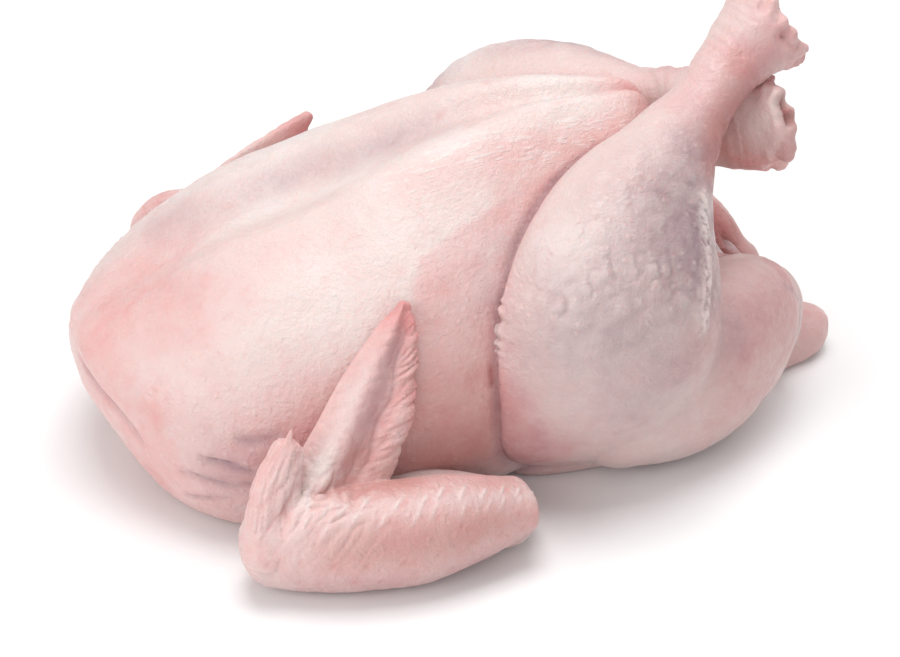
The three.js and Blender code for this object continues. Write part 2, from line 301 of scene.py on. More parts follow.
def triangles_of(quads, triangles):
    """All faces as triangles: each quad cut along its first diagonal."""
    return np.vstack([quads[:, [0, 1, 2]], quads[:, [0, 2, 3]], triangles])


# %% [markdown]
# ## The sections
# A limb's section is a superellipse: a circle stretched along two half axes, with corners filled out a
# little by a power under the sine and cosine. Its ends round off like a fingertip.

# %% Lofts through sections
def superellipse(centre, long, across, sides, squareness):
    """Rings about centres: long axis x cos^p + across axis x sin^p, with p = 2 / squareness."""
    angle = np.linspace(0, 2 * np.pi, sides, endpoint=False)
    c, s = (np.sign(f) * np.abs(f) ** (2 / squareness) for f in (np.cos(angle), np.sin(angle)))
    return centre[:, None] + long[:, None] * c[:, None] + across[:, None] * s[:, None]


def rounded(centre, long, across, at, reach_share, caps=8):
    """Sections that shrink to nothing past one end, as cos and sin of a quarter turn, and their pole."""
    inner = 1 if at == 0 else -2
    reach = reach_share * min(np.linalg.norm(long[at]), np.linalg.norm(across[at]))
    normal = np.cross(long[at], across[at])
    normal *= np.sign(normal @ (centre[at] - centre[inner])) / np.linalg.norm(normal)
    turn = (np.arange(1, caps + 1) / (caps + 1) * np.pi / 2)[:, None]
    ring = (centre[at] + reach * np.sin(turn) * normal, long[at] * np.cos(turn), across[at] * np.cos(turn))
    return ring, centre[at] + reach * normal


def loft(centre, long, across, sides, squareness=2.0, ends=(1.0, 1.0)):
    """Closed loft: (points, quads, triangles), outward."""
    first, first_pole = rounded(centre, long, across, 0, ends[0])
    last, last_pole = rounded(centre, long, across, -1, ends[1])
    centre, long, across = (
        np.vstack([a[::-1], b, c]) for a, b, c in zip(first, (centre, long, across), last)
    )
    grid = superellipse(centre, long, across, sides, squareness)
    points = np.vstack([grid.reshape(-1, 3), first_pole, last_pole])
    return (points, *outward(points, *tube_faces(len(grid), sides)))


def limb_frame(rows, side, count, up=(0, 0, 1)):
    """Centre line, direction, and section axes: across = up x direction, rise = direction x across."""
    rows = smooth_rows(rows, count)
    centre = rows[:, :3] * (1, side, 1)
    along = np.gradient(centre, axis=0)
    along /= np.linalg.norm(along, axis=1, keepdims=True)
    across = np.cross(up, along)
    across /= np.linalg.norm(across, axis=1, keepdims=True)
    return centre, along, across * rows[:, 3:4], np.cross(along, across) * rows[:, 4:5]


def limb(rows, side, count=60, sides=48, up=(0, 0, 1), squareness=2.0, ends=(1.0, 1.0)):
    """Loft square to its own curve, by the section axes of its frame."""
    centre, _, across, rise = limb_frame(rows, side, count, up)
    return loft(centre, across, rise, sides, squareness, ends)


BLADE_BODY, BLADE_RIDGE, BLADE_HOLLOW, BLADE_RIM = 0.6, 0.5, 0.2, 0.16  # shares of the half thickness


def blade_profile(place):
    """Thickness across a wing tip, -1 to 1: a bone ridge before the middle, a hollow, a fleshy rim."""
    ridge = BLADE_RIDGE * np.exp(-(((place + 0.42) / 0.36) ** 2))
    hollow = BLADE_HOLLOW * np.exp(-(((place - 0.2) / 0.26) ** 2))
    rim = BLADE_RIM * np.exp(-(((place - 0.72) / 0.22) ** 2))
    return BLADE_BODY + ridge - hollow + rim


def blade(rows, side, count=90, sides=120, scallop=0.035):
    """Wing tip: the limb's ellipse with the blade's profile on its outer face and a scalloped rim."""
    points, quads, triangles = limb(rows, side, count, sides, (1, 0, 0))
    rings = (len(points) - 2) // sides
    grid = points[:-2].reshape(rings, sides, 3)
    middle = grid.mean(axis=1, keepdims=True)
    angle = np.linspace(0, 2 * np.pi, sides, endpoint=False)
    long = (grid[:, 0] - grid[:, sides // 2])[:, None] / 2
    wide = (grid[:, sides // 4] - grid[:, 3 * sides // 4])[:, None] / 2
    place = np.sin(angle)
    outer = np.where(-side * np.cos(angle) > 0, blade_profile(place), BLADE_BODY)
    along = np.linspace(0, 1, rings)[:, None]
    wave = 1 + scallop * np.sin(along * 58 + 2 * np.sin(along * 9)) * fade(place, 0.5, 0.95)
    grid = middle + long * (np.cos(angle) * outer)[:, None] + wide * (place * wave)[..., None]
    return np.vstack([grid.reshape(-1, 3), points[-2:]]), quads, triangles


def leg_frame(rows, side, count):
    """Centre line, direction, a length tilted towards the tail and a thickness leaning outward."""
    x, out, z, length, thickness, tilt, lean = smooth_rows(rows, count).T
    tilt, lean = np.radians(tilt), np.radians(lean)
    zero = np.zeros_like(x)
    centre = np.stack([x, side * out, z], 1)
    long = np.stack([np.cos(tilt), zero, -np.sin(tilt)], 1)
    leaning = np.stack([np.sin(tilt) * np.sin(lean), side * np.cos(lean), np.cos(tilt) * np.sin(lean)], 1)
    along = np.cross(long, leaning) * side
    along /= np.linalg.norm(along, axis=1, keepdims=True)
    return centre, along, long * length[:, None], leaning * thickness[:, None]


def leg_form(rows, side, count=110, sides=84, squareness=2.15):
    """Loft through the leg's frame, rounded at the thigh and blunt at the hock."""
    centre, _, long, leaning = leg_frame(rows, side, count)
    return loft(centre, long, leaning, sides, squareness, (0.6, 0.3))


# %% [markdown]
# ## Natural unevenness
# Two kinds of randomness shape skin. Smooth noise gives lumps: random heights on a lattice, blended
# between its corners. Scattered spots give follicles: one point at a random place in each cell. Both
# come from a scramble of whole numbers, so every run makes the same bird.

# %% Smooth noise and scattered spots
def lattice(cells, seed):
    """A number from 0 to 1 for each whole-number cell: products with big primes, mixed by shifts."""
    cells = cells.astype(np.int64)
    mixed = cells[..., 0] * 73856093 ^ cells[..., 1] * 19349663 ^ cells[..., 2] * 83492791 ^ seed * 2654435
    mixed = (mixed ^ (mixed >> 13)) * 1274126177
    mixed = (mixed ^ (mixed >> 16)) * 2246822519
    return ((mixed ^ (mixed >> 15)) & 0xFFFFFF) / float(0xFFFFFF)


def noise(points, size, seed):
    """Smooth noise from -1 to 1 with lumps of about `size`, blended between eight lattice corners."""
    place = points / size
    cell = np.floor(place)
    t = place - cell
    t = t * t * (3 - 2 * t)
    total = 0
    for corner in itertools.product((0, 1), repeat=3):
        share = np.prod(np.where(corner, t, 1 - t), axis=-1)
        total = total + share * lattice(cell + corner, seed)
    return 2 * total - 1


def wrinkles(points, direction, spacing, length, seed):
    """Noise drawn out along a direction: cells `length` long and `spacing` wide, from -1 to 1."""
    direction = np.asarray(direction, float) / np.linalg.norm(direction)
    along = (points @ direction)[:, None]
    stretched = (points - along * direction) / spacing + along * direction / length
    return noise(stretched, 1.0, seed)


def creased(value, sharpness=3):
    """Rounded ridges, with narrow valleys where noise crosses zero: 1 - 2 (1 - |noise|)^sharpness."""
    return 1 - 2 * (1 - np.abs(value)) ** sharpness


def spots(points, size, seed):
    """Offset from the nearest of one random point per cell, and that point's own random number."""
    place = points / size
    cell = np.floor(place)
    nearest = np.full(len(points), 9.0)
    number = np.zeros(len(points))
    offset = np.zeros_like(points)
    for step in itertools.product((-1, 0, 1), repeat=3):
        home = cell + step
        jitter = np.stack([lattice(home, seed + k) for k in range(3)], -1)
        away = place - home - 0.15 - 0.7 * jitter
        distance = np.linalg.norm(away, axis=-1)
        closer = distance < nearest
        nearest = np.where(closer, distance, nearest)
        number = np.where(closer, lattice(home, seed + 3), number)
        offset = np.where(closer[:, None], away, offset)
    return offset * size, number


def bell(distance, width):
    """1 at no distance, falling to 1/e at the width, as exp(-(d/w)^2)."""
    return np.exp(-((distance / width) ** 2))


def distance_to(points, place):
    """Distance of each point from one place."""
    return np.linalg.norm(points - np.asarray(place), axis=1)


# %% Distance to a drawn line, and a place on a limb
def line_place(points, line, count=24):
    """Distance from the smooth curve through a line's points, and how far along it, 0 to 1."""
    line = smooth_rows(line, count)
    steps = np.diff(line, axis=0)
    best = np.full(len(points), np.inf)
    share = np.zeros(len(points))
    for k, (start, step) in enumerate(zip(line[:-1], steps)):
        t = np.clip((points - start) @ step / (step @ step), 0, 1)
        distance = np.linalg.norm(points - start - t[:, None] * step, axis=1)
        closer = distance < best
        best = np.where(closer, distance, best)
        share = np.where(closer, (k + t) / (count - 1), share)
    return best, share


def limb_place(points, frame):
    """Share of the way along a limb, then shares of its two half sizes, at the nearest section."""
    centre, along, first, second = frame
    far = (centre**2).sum(1) - 2 * points @ centre.T
    nearest = far.argmin(axis=1)
    offset = points - centre[nearest]
    step = np.linalg.norm(np.diff(centre, axis=0), axis=1).mean()
    on = nearest + (offset * along[nearest]).sum(1) / step
    a, b = ((offset * axis[nearest]).sum(1) / (axis[nearest] ** 2).sum(1) for axis in (first, second))
    return on / (len(centre) - 1), a, b


# %% [markdown]
# ## The trunk
# Breast, back, belly and tail are one loft. Its outline at each station has twelve points: the valley
# over the keel, then crest, slope, flank, lower flank and flat back on each side. More points go over
# the breast than under the back.

# %% Trunk
FLANK_REACH, FLANK_DROP = 0.66, 0.4  # where the breast's slope turns over, out and down
UNDER_REACH, UNDER_RISE = 0.88, 0.3  # where the flank turns under, out and up from the flat back
CROWDING = 1.1  # how far points are moved round towards the breast, in outline points


def trunk_outline(stations):
    """Twelve (y, z) points for each station, from the valley down the far side and up the near one."""
    _, back, widest, half, flat, crest, crest_half, valley = stations.T
    zero = np.zeros_like(back)
    turn = (crest_half + FLANK_REACH * (half - crest_half), crest - FLANK_DROP * (crest - widest))
    low = (UNDER_REACH * half + (1 - UNDER_REACH) * flat, back + UNDER_RISE * (widest - back))
    side = [(crest_half, crest), turn, (half, widest), low, (flat, back)]
    other = [(-y, z) for y, z in side[::-1]]
    outline = [(zero, crest - valley), *side, (zero, back), *other]
    return np.stack([np.stack(point, -1) for point in outline], 1)


def trunk_form():
    """Loft through the outlines, with points crowded towards the breast by a sine of the way round."""
    stations = smooth_rows(TRUNK, TRUNK_RINGS)
    even = np.linspace(0, 12, TRUNK_SIDES, endpoint=False)
    places = even - CROWDING * np.sin(even / 12 * 2 * np.pi)
    ring = smooth_rings(trunk_outline(stations), places % 12)
    height = np.maximum(ring[..., 1], stations[:, 1:2])
    grid = np.stack([np.broadcast_to(stations[:, :1], height.shape), ring[..., 0], height], -1)
    poles = [(row[0], 0, (row[1] + row[5]) / 2) for row in stations[[0, -1]]]
    points = np.vstack([grid.reshape(-1, 3), poles])
    return (points, *outward(points, *tube_faces(*grid.shape[:2])))


# %% Fusing closed lofts into one skin
def fuse(name, forms, voxel):
    """One surface round overlapping closed forms, in even quads of the voxel's size."""
    offsets = np.cumsum([0] + [len(points) for points, _, _ in forms])
    points = np.vstack([points for points, _, _ in forms])
    quads = np.vstack([quads + shift for (_, quads, _), shift in zip(forms, offsets)])
    triangles = np.vstack([tris + shift for (_, _, tris), shift in zip(forms, offsets)])
    obj = new_mesh(name, points, quads, triangles)
    remesh = obj.modifiers.new("Fuse", "REMESH")
    remesh.mode = "VOXEL"
    remesh.voxel_size = voxel * MM
    fused = bpy.data.meshes.new_from_object(obj.evaluated_get(bpy.context.evaluated_depsgraph_get()))
    bpy.data.objects.remove(obj)
    points = np.empty(len(fused.vertices) * 3, np.float32)
    fused.vertices.foreach_get("co", points)
    corners = np.empty(len(fused.loops), np.int32)
    fused.loops.foreach_get("vertex_index", corners)
    sizes = np.empty(len(fused.polygons), np.int32)
    fused.polygons.foreach_get("loop_total", sizes)
    starts = np.cumsum(sizes) - sizes
    quads = corners[starts[sizes == 4][:, None] + np.arange(4)]
    triangles = corners[starts[sizes == 3][:, None] + np.arange(3)]
    bpy.data.meshes.remove(fused)
    print(name, "fused:", 2 * len(quads) + len(triangles), "triangles")
    return points.reshape(-1, 3).astype(float) / MM - TO_FRAME, quads, triangles


def edges_of(quads, triangles):
    """Each edge once, as pairs of point numbers."""
    rims = [np.stack([f, np.roll(f, -1, axis=1)], -1).reshape(-1, 2) for f in (quads, triangles) if len(f)]
    return np.unique(np.sort(np.vstack(rims), axis=1), axis=0)


def neighbour_mean(points, edges):
    """Mean of each point's neighbours along the edges."""
    count = len(points)
    a, b = edges.T
    total = np.stack(
        [np.bincount(a, points[b, k], count) + np.bincount(b, points[a, k], count) for k in range(3)], 1
    )
    return total / (np.bincount(a, minlength=count) + np.bincount(b, minlength=count))[:, None]


def relax(form, rounds, strength=0.5):
    """Moves each point part of the way to the mean of its neighbours, which takes off the voxels' steps."""
    points, quads, triangles = form
    edges = edges_of(quads, triangles)
    for _ in range(rounds):
        points = points + strength * (neighbour_mean(points, edges) - points)
    return points, quads, triangles


def normals_of(points, quads, triangles):
    """Unit normals: the sum of the normals of the faces round each point."""
    faces = triangles_of(quads, triangles)
    a, b, c = (points[faces[:, k]] for k in range(3))
    face = np.cross(b - a, c - a)
    total = np.zeros_like(points)
    for k, axis in itertools.product(range(3), range(3)):
        total[:, axis] += np.bincount(faces[:, k], face[:, axis], len(points))
    return total / np.maximum(np.linalg.norm(total, axis=1, keepdims=True), 1e-12)


# %% The forms of legs and wings
def leg_skin(side):
    """Thigh and shank fused with the side of the rump."""
    forms = [leg_form(LEG[side], side), limb(RUMP_SIDE[side], side, 80, 64, squareness=2.15)]
    return relax(fuse("leg", forms, LEG_VOXEL[side]), 6)


def wing_skin(side):
    """Upper wing, forearm, blade, thumb and the thumb's small claw as one skin."""
    forms = [
        limb(UPPER_WING, side),
        limb(FOREARM, side, 90, 72, squareness=2.2, ends=(0.5, 1.0)),
        blade(WING_TIP[side], side),
        limb(THUMB[side], side, up=(1, 0, 0)),
        limb(THUMB_CLAW[side], side, 12, 16, up=(1, 0, 0)),
    ]
    return relax(fuse("wing", forms, WING_VOXEL[side]), 3)


# %% [markdown]
# ## Pieces that carry relief and colour
# Every piece keeps two things at each point: a height that the skin will rise or sink by, and shares of
# the shades that lie in or under it, with painted shade and painted highlight among them. Each step below
# adds to one or the other, and at the end every point moves along its own normal. Relief made this way is
# real shape, not a trick of shading.

# %% Pieces
SHADES = ("pink", "mauve", "cream", "raw", "pore")
GRAINS = ("pimples", "drawn")  # shares of two finer reliefs, which the finish carries out
UNDER_CREAM = ("pink", "mauve", "pore")
CREAM_HIDES = 0.75  # how much of the shades under it a full share of cream hides


def start_piece(name, form):
    """A piece: its form, normals, a height for each point and a share of each shade."""
    points, quads, triangles = form
    return {
        "name": name,
        "points": points,
        "faces": (quads, triangles),
        "normals": normals_of(*form),
        "object": new_mesh(name, *form),
        "height": np.zeros(len(points)),
        "paint": {layer: np.zeros(len(points)) for layer in SHADES + GRAINS},
    }


def tint(piece, shade, share):
    """Lays a share of a shade or grain over what is there: 1 - (1 - old)(1 - new). Cream hides others."""
    paint, share = piece["paint"], np.clip(share, 0, 1)
    paint[shade] = 1 - (1 - paint[shade]) * (1 - share)
    for hidden in UNDER_CREAM if shade == "cream" else ():
        paint[hidden] = paint[hidden] * (1 - CREAM_HIDES * share)


def patches(piece, shade, rows, mirror=False):
    """Soft round patches (x, y, z, radius, share) whose edges wander with noise."""
    points = piece["points"] * (1, -1, 1) if mirror else piece["points"]
    wander = 1 + 0.3 * noise(points, 14, 21) + 0.15 * noise(points, 5, 22)
    for x, y, z, radius, share in rows:
        tint(piece, shade, share * bell(distance_to(points, (x, y, z)) * wander, radius))


def groove(piece, line, width, depth, shade=None, share=0.0):
    """A furrow along a drawn line, or a ridge below no depth, fading to nothing at both ends."""
    distance, along = line_place(piece["points"], line)
    ends = np.clip(4 * along * (1 - along), 0, 1) ** 0.5
    piece["height"] -= depth * ends * bell(distance, width)
    if shade:
        tint(piece, shade, share * ends * bell(distance, 1.3 * width))


def streak(piece, shade, line, width, share):
    """A soft band of a shade along a drawn line, its edges wandering with noise."""
    distance, along = line_place(piece["points"], line)
    wander = 1 + 0.35 * noise(piece["points"], 9, 24)
    tint(piece, shade, share * bell(distance * wander, width) * np.clip(5 * along * (1 - along), 0, 1) ** 0.5)


trunk = start_piece("trunk", trunk_form())
legs = {side: start_piece(name, leg_skin(side)) for side, name in ((NEAR, "near_leg"), (FAR, "far_leg"))}
wings = {side: start_piece(name, wing_skin(side)) for side, name in ((NEAR, "near_wing"), (FAR, "far_wing"))}
pieces = [trunk, *legs.values(), *wings.values()]
print("points:", {piece["name"]: len(piece["points"]) for piece in pieces})

# %% [markdown]
# ## Where one form meets another
# Skin dips in where a thigh presses on the breast, but runs in one soft curve from rump to belly. Both
# need the distance from each point to the next form. Geometry Nodes find it: one node gives the nearest
# place on the other surface, another that surface's normal, whose side tells inside from outside.

# %% Distances between pieces
def gap_tree(other):
    """Node group that stores the nearest place on another object, and the normal there."""
    tree = bpy.data.node_groups.new("gap", "GeometryNodeTree")
    for way in ("INPUT", "OUTPUT"):
        tree.interface.new_socket("Geometry", in_out=way, socket_type="NodeSocketGeometry")
    new = tree.nodes.new
    start, end, info = new("NodeGroupInput"), new("NodeGroupOutput"), new("GeometryNodeObjectInfo")
    info.inputs["Object"].default_value = other
    proximity, sample = new("GeometryNodeProximity"), new("GeometryNodeSampleNearestSurface")
    proximity.target_element = "FACES"
    sample.data_type = "FLOAT_VECTOR"
    tree.links.new(info.outputs["Geometry"], proximity.inputs[0])
    tree.links.new(info.outputs["Geometry"], sample.inputs["Mesh"])
    value = next(socket for socket in sample.inputs if socket.name == "Value" and socket.enabled)
    tree.links.new(new("GeometryNodeInputNormal").outputs[0], value)
    normal = next(socket for socket in sample.outputs if socket.enabled)
    geometry = start.outputs[0]
    for name, source in (("nearest", proximity.outputs["Position"]), ("facing", normal)):
        store = new("GeometryNodeStoreNamedAttribute")
        store.data_type = "FLOAT_VECTOR"
        store.inputs["Name"].default_value = name
        slot = next(socket for socket in store.inputs if socket.name == "Value" and socket.enabled)
        tree.links.new(source, slot)
        tree.links.new(geometry, store.inputs["Geometry"])
        geometry = store.outputs["Geometry"]
    tree.links.new(geometry, end.inputs[0])
    return tree


def gap_to(piece, other):
    """Millimetres from each point of a piece to another piece's surface, below zero inside it."""
    obj = piece["object"]
    modifier = obj.modifiers.new("gap", "NODES")
    modifier.node_group = gap_tree(other["object"])
    mesh = obj.evaluated_get(bpy.context.evaluated_depsgraph_get()).to_mesh()
    found = {}
    for name in ("nearest", "facing"):
        values = np.empty(len(mesh.vertices) * 3, np.float32)
        mesh.attributes[name].data.foreach_get("vector", values)
        found[name] = values.reshape(-1, 3).astype(float)
    group = modifier.node_group
    obj.modifiers.remove(modifier)
    bpy.data.node_groups.remove(group)
    away = piece["points"] - (found["nearest"] / MM - TO_FRAME)
    return np.linalg.norm(away, axis=1) * np.sign((away * found["facing"]).sum(1))


def fillet(gap, reach):
    """How far a soft join lifts both skins: (reach - gap)^2 / (4 reach), nothing past the reach."""
    return np.clip(reach - np.abs(gap), 0, None) ** 2 / (4 * reach)


# Width and depth of the skin's roll into a crease
LEG_CREASE, TRUNK_CREASE, WING_CREASE = (3.2, 1.8), (2.6, 1.0), (3.0, 0.8)
RUMP_START, RUMP_END = (66, 80), (108, 98)  # x over which the soft join with the belly comes and goes
BELLY_FILLET = 6.0


def roll_in(gap, width, depth):
    """Skin that curls down into a crease: depth (1 - gap/width)^2."""
    return depth * np.clip(1 - np.abs(gap) / width, 0, 1) ** 2


def join_leg(piece, other, crease):
    """A soft join along the rump and a crease elsewhere, painted shade in mauve at its bottom, pink beside
    it.
    """
    gap = gap_to(piece, other)
    x = piece["points"][:, 0]
    soft = fade(x, *RUMP_START) * fade(x, *RUMP_END)
    uneven = 1 + 0.4 * noise(piece["points"], 6, 31)
    piece["height"] += soft * fillet(gap, BELLY_FILLET) - (1 - soft) * uneven * roll_in(gap, *crease)
    # mauve along the crease's bottom: painted shade
    tint(piece, "mauve", 0.6 * (1 - soft) * bell(gap, 1.8))
    tint(piece, "pink", 0.4 * bell(gap, 5))


def join_wing(wing):
    """A crease where the wing lies on the flank, and the wing's painted shadow in pore and pink beside it."""
    wing["height"] -= roll_in(gap_to(wing, trunk), *WING_CREASE)
    gap = gap_to(trunk, wing)
    low = fade(trunk["points"][:, 2], 75, 50)
    # pore and pink low on the flank beside the wing: painted shadow of the wing
    tint(trunk, "pore", 0.4 * low * bell(gap, 7))
    tint(trunk, "pink", 0.3 * low * bell(gap, 12))


for leg in legs.values():
    join_leg(leg, trunk, LEG_CREASE)
    join_leg(trunk, leg, TRUNK_CREASE)
for wing in wings.values():
    join_wing(wing)
print("deepest crease, mm:", round(float(trunk["height"].min()), 2))

# %% [markdown]
# ## Skin all over
# Loose skin is never smooth: fat makes wide soft lumps, and each feather left a follicle, a small swelling
# with a shallow pit beside it. They follow lines, the feather tracts, so they are dense on flank and thigh
# and thin over the crests of the breast.

# %% Lumps, follicles and nicks
FOLLICLE_SPACING, FOLLICLE_SIZE, FOLLICLE_HEIGHT = 5.2, 1.4, 0.4
FOLLICLE_PIT = 0.4  # depth of a pit as a share of its swelling's height
FOLLICLE_LEAN = np.array([0.75, 0.0, 0.35])  # half the way from a pit to its swelling, in sizes
NICK_DEPTH, NICK_LIP = 0.35, 0.25
LUMPS = ((0.9, 32, 41), (0.4, 13, 42), (0.16, 5.5, 43), (0.09, 2.4, 44))  # height, width, seed


def follicles(piece, amount, spacing=FOLLICLE_SPACING, size=FOLLICLE_SIZE, height=FOLLICLE_HEIGHT, seed=51):
    """Swellings with a pit towards the head: a bell at each spot less a share of another beside it."""
    offset, number = spots(piece["points"], spacing, seed)
    strong = amount * fade(number, 0.25, 0.9)
    swelling = bell(distance_to(offset, FOLLICLE_LEAN * size), size)
    pit = bell(distance_to(offset, -FOLLICLE_LEAN * size), size)
    piece["height"] += height * strong * (swelling - FOLLICLE_PIT * pit)
    tint(piece, "pore", 0.3 * strong * pit)
    tint(piece, "cream", 0.3 * strong * swelling)


def nicks(piece, amount, spacing, seed):
    """Short scattered furrows, each lying its own way, with a lip along one side and a flush of pink."""
    offset, number = spots(piece["points"], spacing, seed)
    turn = 6.3 * number  # about a full circle
    across = np.stack([np.cos(turn), np.sin(turn), np.sin(2 * turn)], 1)
    across /= np.linalg.norm(across, axis=1, keepdims=True)
    aside, distance = (offset * across).sum(1), np.linalg.norm(offset, axis=1)
    kept = amount * fade(number, 0.45, 0.55)
    furrow = kept * bell(aside, 1.0) * bell(distance, 2.4)
    lip = kept * bell(aside - 1.6, 0.9) * bell(distance, 3.0)
    piece["height"] += NICK_LIP * lip - NICK_DEPTH * furrow
    tint(piece, "pink", 0.55 * furrow)


def on_side(rows, side):
    """Places or directions in the near side's terms moved to a side, or a side's points to those terms."""
    return np.asarray(rows, float) * (1, -side, 1)


def relief_of(piece):
    """The piece's name and the range of its heights, for printing."""
    return f'{piece["name"]} {piece["height"].min():.2f} to {piece["height"].max():.2f}'


for piece in pieces:
    share = 0.5 if "wing" in piece["name"] else 1.0
    for height, width, seed in LUMPS:
        piece["height"] += share * height * noise(piece["points"], width, seed)
print("relief so far, mm:", [relief_of(piece) for piece in pieces])

# %% Follicles of the breast, flank and back
BREAST_EDGE = [(-32, -54, 83), (-27, -48, 90), (-19, -44, 95), (-10, -41, 98)]  # where it nears the thigh
body = trunk["points"]
body_x, body_y, body_z = body.T
flank = fade(body_z, 92, 72) * fade(np.abs(body_y), 25, 50)
tract = fade(noise(body, 26, 52), -0.5, 0.4)
follicles(trunk, flank * (0.45 + 0.55 * tract))
tint(trunk, "pimples", 0.15 + 0.85 * flank * (0.3 + 0.7 * tract))
follicles(trunk, 0.7 * fade(body_z, 30, 12), seed=58)
nicks(trunk, fade(body_z, 60, 75), 13, seed=66)
for side in (NEAR, FAR):
    distance, _ = line_place(body, on_side(BREAST_EDGE, side))
    follicles(trunk, bell(distance, 4), 4.2, seed=63)
    tint(trunk, "pimples", 0.6 * bell(distance, 6))
print("relief so far, mm:", relief_of(trunk))

# %% Fine lines where the skin is drawn tight
DRAWN_PLACE, DRAWN_REACH = (12, -42, 98), 30
DRAWN_WAY = (0.68, 0.54, 0.51)  # along the crease between breast and thigh
CREST = [(-22, -25, 107), (0, -25, 113), (18, -24, 114.5), (34, -23, 114), (50, -21, 112)]
NECK_PLACE, NECK_REACH = (-106, -38, 58), 22
NECK_WAY = (0.05, -0.75, -0.65)  # from the keel down round the neck's side


def drawn_skin(side):
    """Lines beside the thigh, strokes on the crest of the breast and wrinkles at the side of the neck."""
    mine = fade(side * body_y, 5, 15)
    tight = mine * bell(distance_to(body, on_side(DRAWN_PLACE, side)), DRAWN_REACH)
    lines = creased(wrinkles(body, on_side(DRAWN_WAY, side), 2.2, 22, 71), 2)
    trunk["height"] += 0.14 * tight * lines
    tint(trunk, "pink", 0.15 * tight * fade(lines, 0.3, -0.6))
    distance, _ = line_place(body, on_side(CREST, side))
    tint(trunk, "drawn", mine * bell(distance, 9))
    tint(trunk, "pink", 0.2 * mine * bell(distance - 5, 8) * fade(body_x, -10, 20))
    neck = mine * bell(distance_to(body, on_side(NECK_PLACE, side)), NECK_REACH)
    trunk["height"] += 0.28 * neck * creased(wrinkles(body, on_side(NECK_WAY, side), 2.2, 24, 72))


for side in (NEAR, FAR):
    drawn_skin(side)
print("mean share of strokes on the trunk:", round(float(trunk["paint"]["drawn"].mean()), 3))

# %% [markdown]
# ## Folds of the trunk
# The neck's skin is tucked under, which leaves a step low on the front. Where the wing bends away from
# the breast, four folds run in an arc, each darkened along its bottom with painted shade in mauve, as is
# the step. Each is a furrow along a line drawn through a few places, and a furrow of less than no depth
# is a ridge.

# %% Neck flap and folds behind the shoulder
NECK_FLAP = [(-132, -9, 47), (-130, -20, 43), (-126, -30, 39), (-121, -38, 34), (-115, -44, 27)]
# Folds: places, width and depth
SHOULDER_FOLDS = [
    ([(-103, -60, 33), (-95, -65, 33), (-84, -71, 30)], 1.0, 1.75),
    ([(-109, -54, 25), (-100, -61, 25.5), (-94, -65, 24.5), (-84, -70, 26)], 1.0, 2.0),
    ([(-107, -53, 14), (-100, -59, 16), (-90, -66, 21)], 1.0, 1.5),
    ([(-92, -66, 42), (-84, -70, 43), (-76, -72, 46)], 1.8, 1.5),
]
FLANK_FOLD = [(-1, -61, 70), (-6, -67, 58), (-14, -71, 47), (-27, -73.5, 43)]
for side in (NEAR, FAR):
    flap = on_side(NECK_FLAP, side)
    # mauve in the step under the flap: painted shade
    groove(trunk, flap, 1.2, 1.6, "mauve", 0.35)
    groove(trunk, flap + (2, 0, 4), 2.6, -0.8)
    groove(trunk, flap - (1, 0, 4), 2.6, -0.6)
    streak(trunk, "cream", flap + (1.5, 0, 2.5), 1.6, 0.7)
    for line, width, depth in SHOULDER_FOLDS:
        fold = on_side(line, side)
        # mauve along each fold's bottom: painted shade
        groove(trunk, fold, width, depth, "mauve", 0.75)
        groove(trunk, fold + (0, 0, 3.2), 2.4, -0.5)
    groove(trunk, on_side(FLANK_FOLD, side), 3.0, 0.5, "pink", 0.3)
print("relief so far, mm:", relief_of(trunk))

# %% [markdown]
# ## The vent
# The body is open between the tail and the crossed shanks. Only its edge shows: a thick pale rim of skin
# round dark red flesh. The trunk's skin is pressed down over an oval, deepest in the middle, and stands
# up a little round it.

# %% Vent
VENT_PLACE, VENT_HALF = np.array([98.0, 0.0, 50.0]), (17.0, 18.0)  # half sizes down the slope and across
VENT_TURN = 0.8  # radians that its face is tilted towards the tail
VENT_DEPTH, VENT_RIM = 11.0, 1.6
down_slope = np.array([np.cos(VENT_TURN), 0.0, -np.sin(VENT_TURN)])
out_of_vent = np.array([np.sin(VENT_TURN), 0.0, np.cos(VENT_TURN)])
from_vent = body - VENT_PLACE
oval = np.hypot((from_vent @ down_slope) / VENT_HALF[0], from_vent[:, 1] / VENT_HALF[1])
oval = oval * (1 + 0.08 * noise(body, 9, 81))
upward = fade(trunk["normals"] @ out_of_vent, 0.1, 0.5)
trunk["height"] -= upward * VENT_DEPTH * np.clip(1 - oval**2, 0, 1) ** 0.8
trunk["height"] += upward * VENT_RIM * bell(oval - 1.08, 0.14)
tint(trunk, "raw", upward * fade(oval, 1.02, 0.86))
tint(trunk, "cream", 0.9 * upward * bell(oval - 1.1, 0.12))
print("relief so far, mm:", relief_of(trunk))

# %% Fat along the keel
KEEL = [
    (-137, 0, 46), (-122, 0, 59), (-97, 0, 74), (-78, 0, 83), (-52, 0, 89.5), (-24, 0, 101.5), (5, 0, 111.5),
]
KEEL_WIDTH, KEEL_FAT = 9, 2.0
groove(trunk, KEEL, KEEL_WIDTH, -KEEL_FAT)
print("relief so far, mm:", relief_of(trunk))

# %% Colours of the trunk
# Mauve beside the keel is painted shade in the valley between the two crests
KEEL_VALLEY_SHADE = [(-106, 14, 75), (-92, 14, 82), (-77, 8, 86), (-47, 10, 96), (-20, 4, 105), (10, 5, 113)]
